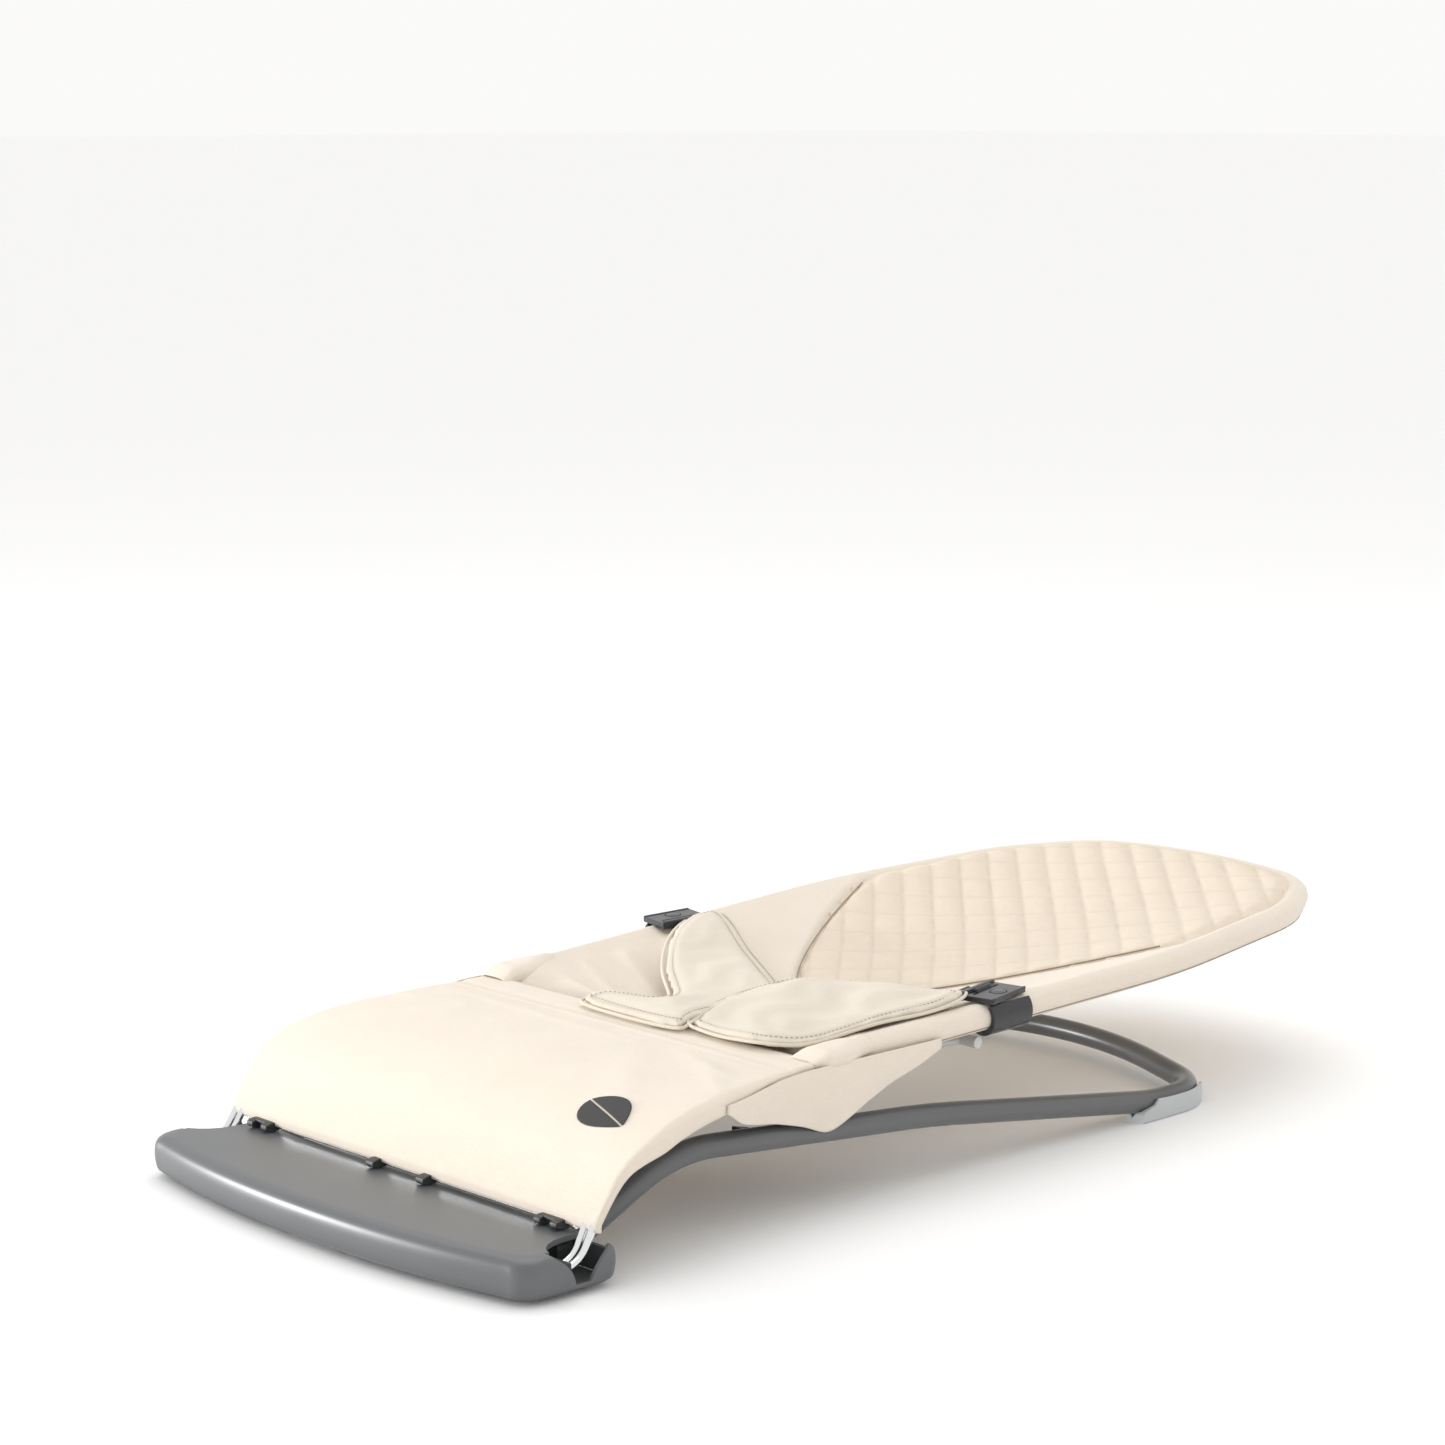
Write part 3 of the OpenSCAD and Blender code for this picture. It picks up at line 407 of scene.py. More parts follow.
base_corners, base_bends = both_sides(from_foot(BASE_HALF), [r / 1000 for r in BASE_RADII])
base_path = rounded(base_corners, base_bends)
base_rail = swept("base_rail", walked(base_path, 0.006)[0], 0.008, frame_paint, sides=32)
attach(base_rail, "base")
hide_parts("base_tube")

# ---- Rear shoes ----
# Light grey rubber shoes pushed over the outer and lower side of the tube at both rear corners.
# Each has a thin raised flange that follows the bend and a low tip towards the front.
shoe_rubber = moulded("shoe_rubber", (0.50, 0.52, 0.53), 0.42, bump=0.12, wear=0.04)
SHOE_PROFILE = np.array([
    (-0.0070, 0.0022), (-0.0060, 0.0004), (-0.0040, 0.0), (0.0092, 0.0), (0.0106, 0.0005),
    (0.0112, 0.0018), (0.0113, 0.0080), (0.0112, 0.0140), (0.0107, 0.0149), (0.0097, 0.0149),
    (0.0091, 0.0140), (0.0084, 0.0105), (0.0074, 0.0072), (0.0052, 0.0045), (0.0025, 0.0031),
    (0.0, 0.0027), (-0.0035, 0.0036)])
SHOE_START, SHOE_END = 0.606 + FRONT, 0.074
TUBE_LIFT = 0.011


def rear_shoe(name, side):
    """The profile, in outward and upward places, carried along the tube's centre line in plan.
    Its upper part is pressed down at the front tip and rises along a smooth step."""
    line, _ = walked(base_path, 0.002)
    line = line[: len(line) // 2]
    start = np.argmax(line[:, 1] > SHOE_START)
    line = line[start: start + int(SHOE_END / 0.002)]
    _, out, _ = tube_frame(line)
    out[:, 2] = 0
    out /= np.linalg.norm(out, axis=1)[:, None]
    along = np.linspace(0, 1, len(line))
    rise = np.clip((along - 0.16) / 0.07, 0, 1)
    top = 0.0052 + 0.0045 * np.clip(along / 0.16, 0, 1) + 0.0053 * rise * rise * (3 - 2 * rise)
    height = np.minimum(SHOE_PROFILE[None, :, 1], top[:, None])
    reach = SHOE_PROFILE[None, :, 0] * np.ones((len(line), 1))
    lift = np.clip(line[:, 2] - TUBE_LIFT, 0, 1)[:, None] * (height > 0.003)
    grid = line[:, None] * (1, 1, 0) + out[:, None] * reach[..., None]
    grid[..., 2] = height + lift
    grid *= (side, 1, 1)
    return skinned(name, grid if side > 0 else grid[:, ::-1], shoe_rubber, caps=True)


for word, side in SIDES:
    shoe = rear_shoe(f"rear_shoe_{word}", side)
    soften(shoe, 0.0004, angle=50)
    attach(shoe, "base")
    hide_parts(f"rear_foot_{word}")

# ---- Spring rods and hem wire ----
# Pairs of bright chromed spring steel rods rise from the knuckles in the foot to the knees, and
# a chromed wire holds the panel's hem between them.
def polished(name, colour, roughness, streak=60.0):
    """Bright metal with faint drawing marks along its length and slightly uneven polish."""
    material, tree, shader = new_material(name, colour, roughness, Metallic=1.0)
    link = tree.links.new
    place = add_node(tree, "TexCoord")
    marks = add_node(tree, "TexNoise", Scale=streak, Detail=6)
    gloss = add_node(tree, "MapRange", To_Min=roughness * 0.6, To_Max=roughness * 1.5)
    relief = add_node(tree, "Bump", Strength=0.05, Distance=0.0002)
    link(place.outputs["Object"], marks.inputs["Vector"])
    link(marks.outputs["Fac"], gloss.inputs["Value"])
    link(gloss.outputs["Result"], shader.inputs["Roughness"])
    link(marks.outputs["Fac"], relief.inputs["Height"])
    link(relief.outputs["Normal"], shader.inputs["Normal"])
    return material


rod_chrome = polished("rod_chrome", (0.80, 0.81, 0.82), 0.10)
ROD_RADII = [0, 0.022, 0.046, 0.160, 0]
for word, side in SIDES:
    for place, low_x, high_x in (("outer", 187, 163), ("inner", 180, 149)):
        corners = from_foot([(low_x, 55.5, 16), (low_x, 72, 16),
                             (low_x + 0.18 * (high_x - low_x), 104, 68), (high_x, 240, 88),
                             (high_x, 274, 88.6)]) * (side, 1, 1)
        rod = swept(f"spring_rod_{place}_{word}", walked(rounded(corners, ROD_RADII), 0.003)[0],
                    0.0025, rod_chrome, sides=20)
        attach(rod, "spring_frame")
        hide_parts(f"rod_{place}_{word}")

refinish(rod_chrome, "hem_wire")

# ---- Hem hooks ----
# Black nylon hooks on the wire: two wide ones near the ends with two prongs each, and two small
# studs near the middle, sewn under the hem.
black_plastic = moulded("black_plastic", (0.028, 0.029, 0.031), 0.42, bump=0.15)
HOOK = [(-9.4, 1.2), (-9.6, -1.6), (-8.0, -3.2), (-3.0, -3.9), (1.6, -3.6), (3.2, -1.8), (3.2, 1.2),
        (1.8, 2.6), (-5.6, 2.4)]


def slab_along_x(name, outline, x0, x1, material, edge=0.0006):
    """An outline in y and z millimetres, extruded from x0 to x1, with rounded edges."""
    side = np.array([(0, y, z) for y, z in outline])
    rows = np.array([side + (x, 0, 0) for x in (x0, x1)])
    piece = skinned(name, from_foot(rows), material, caps=True, smooth=False)
    soften(piece, edge)
    return piece


HEM_WIRE = (85, 34)
HOOKS = (("hem_hook_left", "hem_clip_left", (150,), 22),
         ("hem_hook_right", "hem_clip_right", (-150,), 22),
         ("hem_stud_pair", "hem_studs", (-26, 26), 8))


def joined(name, parts):
    """One object from several."""
    bpy.ops.object.select_all(action="DESELECT")
    for part in parts:
        part.select_set(True)
    bpy.context.view_layer.objects.active = parts[0]
    bpy.ops.object.join()
    parts[0].name = name
    return parts[0]


for name, node, places, width in HOOKS:
    parts = []
    outline = [(HEM_WIRE[0] + y, HEM_WIRE[1] + z) for y, z in HOOK]
    bridge = [(HEM_WIRE[0] + y, HEM_WIRE[1] + z) for y, z in
              ((-6.2, 2.6), (-6.2, 0.2), (3.0, 0.2), (3.0, 2.6))]
    for x in places:
        if width > 10:
            parts.append(slab_along_x("prong", outline, x - 11, x - 4.5, black_plastic))
            parts.append(slab_along_x("prong", outline, x + 4.5, x + 11, black_plastic))
            parts.append(slab_along_x("bridge", bridge, x - 10, x + 10, black_plastic))
        else:
            parts.append(slab_along_x("stud", outline, x - 4, x + 4, black_plastic))
    hook = joined(name, parts)
    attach(hook, "spring_frame")
    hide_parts(node)

# ---- Front panel ----
# Plain cream cotton twill, doubled, stretched from the hem wire over the rods to the knee bar.
# The side edges turn down round the rods, and a soft crease marks the bar.
def cotton(name, colour, weave=0.0007, mottle=0.05, painted_crease_shade=0.0):
    """Woven cloth: two crossing wave textures for warp and weft, slubs from stretched noise,
    a faint mottle in the colour, a soft sheen, and painted shade along stitched channels from the
    crease attribute."""
    material, tree, shader = new_material(name, colour, 0.86, Sheen_Weight=0.25,
                                          Sheen_Roughness=0.5, Specular_IOR_Level=0.2)
    link = tree.links.new
    place = add_node(tree, "TexCoord").outputs["Object"]

    def total_of(first, second):
        """The sum of two values."""
        adding = add_node(tree, "Math", {"operation": "ADD"})
        link(first, adding.inputs[0])
        link(second, adding.inputs[1])
        return adding.outputs[0]

    threads, slubs = [], []
    for direction in ("X", "Y"):
        wave = add_node(tree, "TexWave", {"bands_direction": direction}, Scale=0.314 / weave,
                        Distortion=1.2, Detail=1)
        link(place, wave.inputs["Vector"])
        threads.append(wave.outputs["Fac"])
    for stretch in ((900, 130, 500), (130, 900, 500)):
        turn = add_node(tree, "Mapping", Scale=stretch)
        slub = add_node(tree, "TexNoise", Scale=1.0, Detail=3)
        link(place, turn.inputs["Vector"])
        link(turn.outputs["Vector"], slub.inputs["Vector"])
        slubs.append(slub.outputs["Fac"])
    cloud = add_node(tree, "TexNoise", Scale=34, Detail=6)
    link(place, cloud.inputs["Vector"])
    tint = add_node(tree, "MapRange", From_Min=0.9, From_Max=2.1, To_Min=1 - mottle,
                    To_Max=1 + mottle)
    link(total_of(total_of(*slubs), cloud.outputs["Fac"]), tint.inputs["Value"])
    # Painted shade: the crease attribute darkens the colour along stitched channels and grooves.
    painted_shade_map = add_node(tree, "Attribute", {"attribute_name": "crease"})
    darken = add_node(tree, "Math", {"operation": "MULTIPLY_ADD"})
    darken.inputs[1].default_value = -painted_crease_shade
    darken.inputs[2].default_value = 1.0
    link(painted_shade_map.outputs["Fac"], darken.inputs[0])
    whole = add_node(tree, "Math", {"operation": "MULTIPLY"})
    link(tint.outputs["Result"], whole.inputs[0])
    link(darken.outputs[0], whole.inputs[1])
    shade = add_node(tree, "VectorMath", {"operation": "SCALE"})
    shade.inputs[0].default_value = colour
    link(whole.outputs[0], shade.inputs["Scale"])
    link(shade.outputs["Vector"], shader.inputs["Base Color"])
    weave_bump = add_node(tree, "Bump", Strength=0.35, Distance=0.0003)
    link(total_of(*threads), weave_bump.inputs["Height"])
    cloud_bump = add_node(tree, "Bump", Strength=0.35, Distance=0.0016)
    link(cloud.outputs["Fac"], cloud_bump.inputs["Height"])
    link(weave_bump.outputs["Normal"], cloud_bump.inputs["Normal"])
    link(cloud_bump.outputs["Normal"], shader.inputs["Normal"])
    return material


seat_cotton = cotton("seat_cotton", (0.80, 0.715, 0.61), mottle=0.045)


def smoothstep(value, low, high):
    t = np.clip((value - low) / (high - low), 0, 1)
    return t * t * (3 - 2 * t)


PANEL_HEM, PANEL_END = 75.0, 294.0
CREST_TOP = 99.5


def panel_line(s):
    """The panel's middle line from hem to knee: steep at the hem, levelling off as a damped
    curve, with a shallow groove at the knee bar. Gives y and z in millimetres."""
    y = PANEL_HEM + (PANEL_END - PANEL_HEM) * s ** 1.55
    t = (y - PANEL_HEM) / 80
    z = CREST_TOP - 61 * np.exp(-2.6 * t) * (1 + 0.6 * t) - 4.4 * np.clip(1 - s / 0.03, 0, 1)
    z -= 0.9 * np.exp(-((y - 268) / 3.0) ** 2) + 0.5 * np.exp(-((y - 259) / 2.0) ** 2)
    return y + 7.5 * (1 - smoothstep(y, 75, 112)), z


def panel_half(y):
    """Half the panel's width: widest above the foot's edge, drawn in at the hem and the knees."""
    wide = 168.5 + 31.5 * (1 - smoothstep(y, 65, 310))
    return wide - 8.5 * (1 - smoothstep(y, 82, 135))


def panel_edge(a, half, drop):
    """Across the panel at a distance a from its middle: flat, an arc down round the rod, a
    straight side, a small arc inwards, and a turned-in hem. Gives x and depth below the top."""
    bend, turn_in = np.minimum(6.0, drop * 0.45), np.minimum(2.2, drop * 0.2)
    a1 = half - bend
    a2 = a1 + bend * math.pi / 2
    a3 = a2 + drop - bend - turn_in
    a4 = a3 + turn_in * math.pi / 2
    x = np.select(
        [a < a1, a < a2, a < a3, a < a4],
        [a, a1 + bend * np.sin((a - a1) / bend), half + 0 * a,
         half - turn_in + turn_in * np.cos((a - a3) / turn_in)], half - turn_in - (a - a4))
    depth = np.select(
        [a < a1, a < a2, a < a3, a < a4],
        [0 * a, bend - bend * np.cos((a - a1) / bend), bend + a - a2,
         drop - turn_in + turn_in * np.sin((a - a3) / turn_in)], drop + 0 * a)
    return x, depth


def creases(x, y, folds):
    """Sum of long soft folds. Each is a line from one place to another, a height and a width,
    and dies away past its ends."""
    height = np.zeros(np.broadcast(x, y).shape)
    for x0, y0, x1, y1, tall, wide in folds:
        length = math.hypot(x1 - x0, y1 - y0)
        ux, uy = (x1 - x0) / length, (y1 - y0) / length
        along = (x - x0) * ux + (y - y0) * uy
        off = (x - x0) * uy - (y - y0) * ux
        fade = smoothstep(along, -0.2 * length, 0.25 * length)
        fade = fade * (1 - smoothstep(along, 0.7 * length, 1.2 * length))
        height += tall * np.exp(-(off / wide) ** 2) * fade
    return height


PANEL_FOLDS = [(-150, 248, 40, 243, 0.5, 5), (-60, 262, 150, 266, 0.5, 5),
               (170, 110, 60, 232, 0.8, 14), (-170, 120, -90, 236, 0.8, 14),
               (-20, 90, 20, 220, 0.5, 24), (120, 236, 168, 205, 0.9, 8),
               (90, 246, 160, 226, 0.7, 6), (-165, 210, -120, 240, 0.8, 8)]
rows, columns = 120, 151
s = np.linspace(0, 1, rows)[:, None]
crest_y, crest_z = panel_line(s)
half = panel_half(crest_y)
fade = smoothstep(crest_y, 204, 247)
drop = (4.0 + 9.0 * smoothstep(crest_y, 78, 140)) * (1 - fade) + 5.4 * fade
reach = half + drop + 5
across = np.linspace(-1, 1, columns)[None, :]
edge_x, depth = panel_edge(np.abs(across) * reach, half, drop)
panel_x = np.sign(across) * edge_x
d_y = np.gradient(crest_y, axis=0)
d_z = np.gradient(crest_z, axis=0)
d = np.hypot(d_y, d_z)
lift = 0.5 * (1 - (edge_x / half) ** 2) + creases(panel_x, crest_y + 0 * panel_x, PANEL_FOLDS)
lift -= 0.7 * np.exp(-(s / 0.012) ** 2)
panel_grid = from_foot(np.stack([panel_x, crest_y - (lift - depth) * d_z / d,
                                 crest_z + (lift - depth) * d_y / d], -1))
panel = skinned("front_panel_cloth", panel_grid, seat_cotton, closed=False)
panel_length = float(np.sum(np.hypot(np.diff(crest_y[:, 0]), np.diff(crest_z[:, 0])))) / 1000


def thicken(piece, thickness):
    """Gives a cloth its thickness on the side away from the viewer's and closes its edges."""
    wall = piece.modifiers.new("thickness", "SOLIDIFY")
    wall.thickness = thickness
    wall.offset = -1
    wall.use_even_offset = False
    settle(piece)


thicken(panel, 0.0018)
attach(panel, "spring_frame")
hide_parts("front_panel")

# ---- Printed mark ----
# A small plain leaf printed in dark ink near the panel's left side, shown as a thin film.
ink = moulded("ink", (0.035, 0.035, 0.035), 0.7, grain=3000, bump=0.2)
LEAF_AT, LEAF_LENGTH, LEAF_WIDTH, LEAF_TURN = (136, 0.45), 50.0, 34.0, math.radians(-20)


def on_panel(x, s):
    """A place a hair above the panel's face, from its x and its share of the way to the knee."""
    y, z = panel_line(s)
    step = 1e-3
    y2, z2 = panel_line(s + step)
    length = np.hypot(y2 - y, z2 - z)
    up = 0.5 * (1 - (x / panel_half(y)) ** 2) + creases(x, y, PANEL_FOLDS) + 0.35
    return from_foot(np.stack([x, y - up * (z2 - z) / length, z + up * (y2 - y) / length], -1))


blades = []
for blade in (1, -1):
    run = np.linspace(0, 1, 40)[:, None]
    spread = np.linspace(0, 1, 8)[None, :]
    width = LEAF_WIDTH / 2 * np.sin(math.pi * run ** 0.8) ** 0.8
    p = LEAF_LENGTH * (run - 0.5) + 0 * spread
    q = blade * (0.7 + spread * width)
    x = LEAF_AT[0] + p * math.cos(LEAF_TURN) - q * math.sin(LEAF_TURN)
    s_at = LEAF_AT[1] + (p * math.sin(LEAF_TURN) + q * math.cos(LEAF_TURN)) / (panel_length * 1000)
    blades.append(skinned("blade", on_panel(x, s_at), ink, closed=False))
leaf = joined("panel_leaf_print", blades)
thicken(leaf, 0.0002)
turned_out(leaf)
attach(leaf, "spring_frame")

# ---- Side flaps ----
# Triangular flaps of the same cotton, sewn to the panel's corners, that hide the knee hinges.
FLAP_Y = [198, 210, 226, 246, 273, 292, 300, 312, 330, 352, 376, 400]
FLAP_LOW = [87, 77, 73, 69, 62, 54, 54, 59, 68, 76, 83, 92]
for word, side in SIDES:
    y = np.linspace(198, 400, 90)[:, None]
    low = np.interp(y, FLAP_Y, FLAP_LOW)
    kernel = np.hanning(11)[:, None] / np.hanning(11).sum()
    low = np.convolve(np.pad(low[:, 0], 5, mode="edge"), kernel[:, 0], mode="valid")[:, None]
    t = np.linspace(0, 1, 24)[None, :]
    high = 91.5 + 6.5 * smoothstep(y, 200, 284)
    sewn = np.maximum(173.9, panel_half(y) + 0.9)
    z = high + (low - high) * t
    x = sewn + 2.2 * np.sin(math.pi * t ** 0.8) * np.clip((high - low) / 40, 0, 1) \
        + 0.5 * np.sin(y / 9.0 + 3 * t) * t
    grid = from_foot(np.stack([x, y + 0 * t, z], -1)) * (side, 1, 1)
    flap = skinned(f"side_flap_cloth_{word}", grid if side < 0 else grid[:, ::-1], seat_cotton,
                   closed=False)
    thicken(flap, 0.0012)
    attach(flap, "spring_frame")
    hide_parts(f"side_flap_{word}")

# ---- Rail sleeve ----
# A sleeve of the same cotton drawn over the seat hoop, closed by a seam along its outer lower
# side. Its small wrinkles run round the tube and crowd at the head's bends.
TILT = math.radians(2.4)
PIN = np.array([0, FRONT + 0.310, 0.097])
RAIL_X, SPREAD, HOOP_V = 0.159, 0.012, 0.585013
SLEEVE_R = 0.0096
HEAD_X, HEAD_SLOPE, HEAD_R = 0.101, math.radians(12), 0.300
HOOP_END = HOOP_V - SLEEVE_R
SIDE_V = HOOP_V - 0.255
HEAD_V = HOOP_END + HEAD_R * (1 / math.cos(HEAD_SLOPE) - 1) - HEAD_X * math.tan(HEAD_SLOPE)


def rail_at(v):
    """Distance of the rail from the middle, along its first straight."""
    return RAIL_X + SPREAD * (v + 0.007) / (SIDE_V + 0.007)


def on_seat(points):
    """From the seat's own frame (x, distance v behind the pins, height w) to the object's."""
    p = np.asarray(points, float)
    c, sn = math.cos(TILT), math.sin(TILT)
    return np.stack([p[..., 0], PIN[1] + p[..., 1] * c - p[..., 2] * sn,
                     PIN[2] + p[..., 1] * sn + p[..., 2] * c], -1)


hoop_half = [(rail_at(0.02), 0.02, 0), (RAIL_X + SPREAD, SIDE_V, 0),
             (RAIL_X - 0.014, HOOP_V - 0.095, 0), (HEAD_X, HEAD_V, 0),
             (0, HEAD_V + HEAD_X * math.tan(HEAD_SLOPE), 0)]
hoop_corners, hoop_bends = both_sides(hoop_half, [0, 0.5, 0.12, 0.07, HEAD_R])
hoop_line, hoop_along = walked(rounded(hoop_corners, hoop_bends), 0.0025)
SLEEVE_SIDES = 40
angle = np.linspace(0, 2 * math.pi, SLEEVE_SIDES, endpoint=False)[None, :]
bends = np.exp(-((np.abs(hoop_line[:, 0]) - 0.12) / 0.03) ** 2)
bends = bends * smoothstep(hoop_line[:, 1], 0.42, 0.5)
ripple = np.sin(hoop_along / 0.0021 + 2 * np.sin(hoop_along / 0.017))[:, None]
ripple = ripple * (0.3 + 0.7 * np.sin(hoop_along / 0.031) ** 2)[:, None]
ripple = ripple * (0.6 + 0.4 * np.cos(angle))
sleeve_radius = SLEEVE_R - 0.00012 + ripple * (0.00006 + 0.00022 * bends[:, None])
sleeve = swept("rail_sleeve_cloth", on_seat(hoop_line), sleeve_radius, seat_cotton,
               sides=SLEEVE_SIDES)
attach(sleeve, "seat")
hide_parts("rail_sleeve")

seam_thread = moulded("seam_thread", (0.30, 0.24, 0.18), 0.8, grain=3000, bump=0.3)
_, outward, upward = tube_frame(hoop_line)
SEAM_DROP = math.radians(-38)
seam_side = outward * math.cos(SEAM_DROP) + upward * math.sin(SEAM_DROP)
seam_path = hoop_line + (SLEEVE_R - 0.0001) * seam_side
sleeve_seam = swept("rail_sleeve_seam", on_seat(seam_path), 0.0005, seam_thread, sides=6)
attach(sleeve_seam, "seat")

# ---- Knee covers ----
# Where the sleeve meets the panel, a hood of the same cotton closes over each knee bracket. It
# grows from the panel's surface, squared over the bracket, into the round of the sleeve.
def knee_cover(name, side):
    """Half superellipses across, one at each place along the rail: their width, height and
    squareness pass smoothly from the bracket's to the sleeve's."""
    y = np.linspace(288, 342, 40)[:, None]
    v = (y - 310) / 1000
    to_rail = smoothstep(y, 312, 340)
    rail = rail_at(v) * 1000
    outer = 169.4 + 6.2 * smoothstep(y, 287, 300)
    outer = outer + (rail + 10.0 - outer) * to_rail
    inner = 144.2 + (rail - 10.0 - 144.2) * to_rail
    sleeve_top = 97 + 42 * v + 10.0
    top = 99.4 + 6.6 * smoothstep(y, 283, 303)
    top = top + (sleeve_top - top) * smoothstep(y, 302, 326)
    low = 96.5 + (97 + 42 * v - 96.5) * to_rail
    power = 2 / (3.4 - 1.4 * to_rail)
    turn = np.linspace(math.pi, 0, 33)[None, :]
    c, sn = np.cos(turn), np.sin(turn)
    x = (inner + outer) / 2 + (outer - inner) / 2 * np.sign(c) * np.abs(c) ** power
    z = low + (top - low) * np.abs(sn) ** power + 0.25 * np.sin(y / 2.3 + 3 * c) * to_rail * sn
    grid = from_foot(np.stack([x, y + 0 * x, z], -1)) * (side, 1, 1)
    hood = skinned(name, grid, seat_cotton, closed=False)
    thicken(hood, 0.0010)
    turned_out(hood)
    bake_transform(hood)


for word, side in SIDES:
    knee_cover(f"knee_cover_cloth_{word}", side)

# ---- Seat sling ----
# The plain part of the seat: one layer of cotton between the rails from the knees to a curved
# seam under the hips. It sags between the rails and gathers in folds beside the harness.
SAG = 0.024
rail_plan = hoop_line[:, :2]


def from_rail(x, v):
    """Distance inwards from the rail's centre line, as the least over its points."""
    shape = np.broadcast(x, v).shape
    p = np.stack([np.broadcast_to(x, shape).ravel(), np.broadcast_to(v, shape).ravel()], 1)
    line = rail_plan[::2]
    best = np.full(len(p), np.inf)
    for chunk in np.array_split(line, 12):
        gap = np.hypot(p[:, None, 0] - chunk[None, :, 0], p[:, None, 1] - chunk[None, :, 1])
        best = np.minimum(best, gap.min(1))
    return best.reshape(shape)


def cloth_height(x, v):
    """Height of the seat cloth: it leaves the sleeve on a tangent and sags towards the middle as
    a power curve, deepest a third of the way to the head. Nearer the rail it dips in the sleeve."""
    d = from_rail(x, v)
    d = np.where(v < 0.02, RAIL_X - np.abs(x), d)
    share = np.clip((v + 0.04) / (HOOP_END + 0.04), 0.001, 1)
    sag = SAG * np.sin(math.pi * share ** 0.5)
    slope = 2.2 * sag / RAIL_X
    leave_d = SLEEVE_R * slope / np.sqrt(1 + slope ** 2)
    leave_w = SLEEVE_R / np.sqrt(1 + slope ** 2)

    def fall(distance):
        return sag * (1 - (1 - np.clip(distance / RAIL_X, 0, 1)) ** 2.2)
    tucked = np.sqrt(np.maximum(SLEEVE_R ** 2 - d ** 2, 1e-8)) - 0.0006
    return np.where(d < leave_d, tucked, leave_w + fall(leave_d) - fall(d))


def seam_at(x):
    """Where the plain seat meets the quilted back, as a distance behind the pins."""
    return 0.136 + 0.224 * (np.abs(x) / RAIL_X) ** 1.5


def rail_half(v):
    """Half width between the rails' centre lines, carried on past the head's bend."""
    front = rail_plan[: int(len(rail_plan) * 0.5)]
    keep = front[:, 1] < 0.500
    x = np.interp(v, front[keep, 1], front[keep, 0])
    x = np.where(v < 0.02, rail_at(v), x)
    return x - np.maximum(v - 0.5, 0) * 0.55


SLING_FRONT = -0.023
sling_u = np.linspace(-1, 1, 121)[None, :]
sling_t = np.linspace(0, 1, 90)[:, None]
SLING_FOLDS = [(-150, 50, -40, 8, 4.5, 8), (-150, 92, -60, 44, 4.0, 9), (-148, 136, -95, 96, 3.0, 8),
               (-128, 16, 10, -4, 4.0, 7), (150, 40, 60, 6, 3.0, 7), (150, 80, 90, 45, 2.5, 8),
               (-130, 190, -60, 130, 1.6, 10), (140, 210, 70, 140, 1.6, 10)]
v_end = seam_at(sling_u * RAIL_X)
sling_v = SLING_FRONT + (v_end + 0.014 - SLING_FRONT) * sling_t
sling_x = sling_u * (rail_half(sling_v) - 0.0012)
sling_w = cloth_height(sling_x, sling_v)
front_dip = 0.011 * (1 - smoothstep(sling_v, -0.024, 0.012))
inside = smoothstep(from_rail(sling_x, sling_v), 0.006, 0.03)
sling_w = sling_w - front_dip + inside * creases(sling_x * 1000, sling_v * 1000, SLING_FOLDS) / 1000
hip_dip = 0.0042 * smoothstep(sling_v - v_end, -0.006, 0.006)
sling_grid = on_seat(np.stack([sling_x, sling_v, sling_w - hip_dip], -1))
sling = skinned("seat_sling_cloth", sling_grid, seat_cotton, closed=False)
thicken(sling, 0.0016)
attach(sling, "seat")
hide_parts("seat_sling")

# ---- Quilted back ----
# Two layers of cotton over wadding, stitched through in curved diamonds, from the hip seam to
# the head of the hoop. The wadding swells, then the stitching pulls its channels in.
# The last value is the strength of the painted shade along the stitched channels.
quilt_cotton = cotton("quilt_cotton", (0.755, 0.65, 0.52), mottle=0.06, painted_crease_shade=0.10)
QUILT_STEP = 0.0225


def head_limit(u):
    """How far back the back panel's column u runs before it meets the hoop's centre line."""
    v = np.linspace(0.30, HOOP_END - 0.0008, 700)
    middle = rail_plan[(rail_plan[:, 0] >= 0) & (rail_plan[:, 1] > 0.3)]
    order = np.argsort(middle[:, 1])
    hoop_x = np.interp(v, middle[order, 1], middle[order, 0])
    within = np.abs(u)[..., None] * rail_half(v) <= hoop_x
    return v[within.shape[-1] - 1 - np.argmax(within[..., ::-1], axis=-1)]


def inflate(piece, voxel, limit, pressure=4.0):
    """Swells a closed pad: voxel remesh, cloth under inner pressure for twenty frames with no
    gravity, each point's move cut to the limit, then one subdivision."""
    remesh = piece.modifiers.new("remesh", "REMESH")
    remesh.mode = "VOXEL"
    remesh.voxel_size = voxel
    settle(piece)
    start = np.empty(len(piece.data.vertices) * 3)
    piece.data.vertices.foreach_get("co", start)
    cloth = piece.modifiers.new("cloth", "CLOTH")
    cloth.settings.use_pressure = True
    cloth.settings.uniform_pressure_force = pressure
    cloth.settings.effector_weights.gravity = 0
    cloth.settings.quality = 4
    scene = bpy.context.scene
    for frame_number in range(1, 21):
        scene.frame_set(frame_number)
    settle(piece)
    scene.frame_set(1)
    moved = np.empty_like(start)
    piece.data.vertices.foreach_get("co", moved)
    step = (moved - start).reshape(-1, 3)
    far = np.linalg.norm(step, axis=1)[:, None]
    step *= np.minimum(1, limit / np.maximum(far, 1e-9))
    piece.data.vertices.foreach_set("co", (start.reshape(-1, 3) + step).ravel())
    finer = piece.modifiers.new("finer", "SUBSURF")
    finer.levels = finer.render_levels = 1
    settle(piece)
    piece.data.polygons.foreach_set("use_smooth", [True] * len(piece.data.polygons))


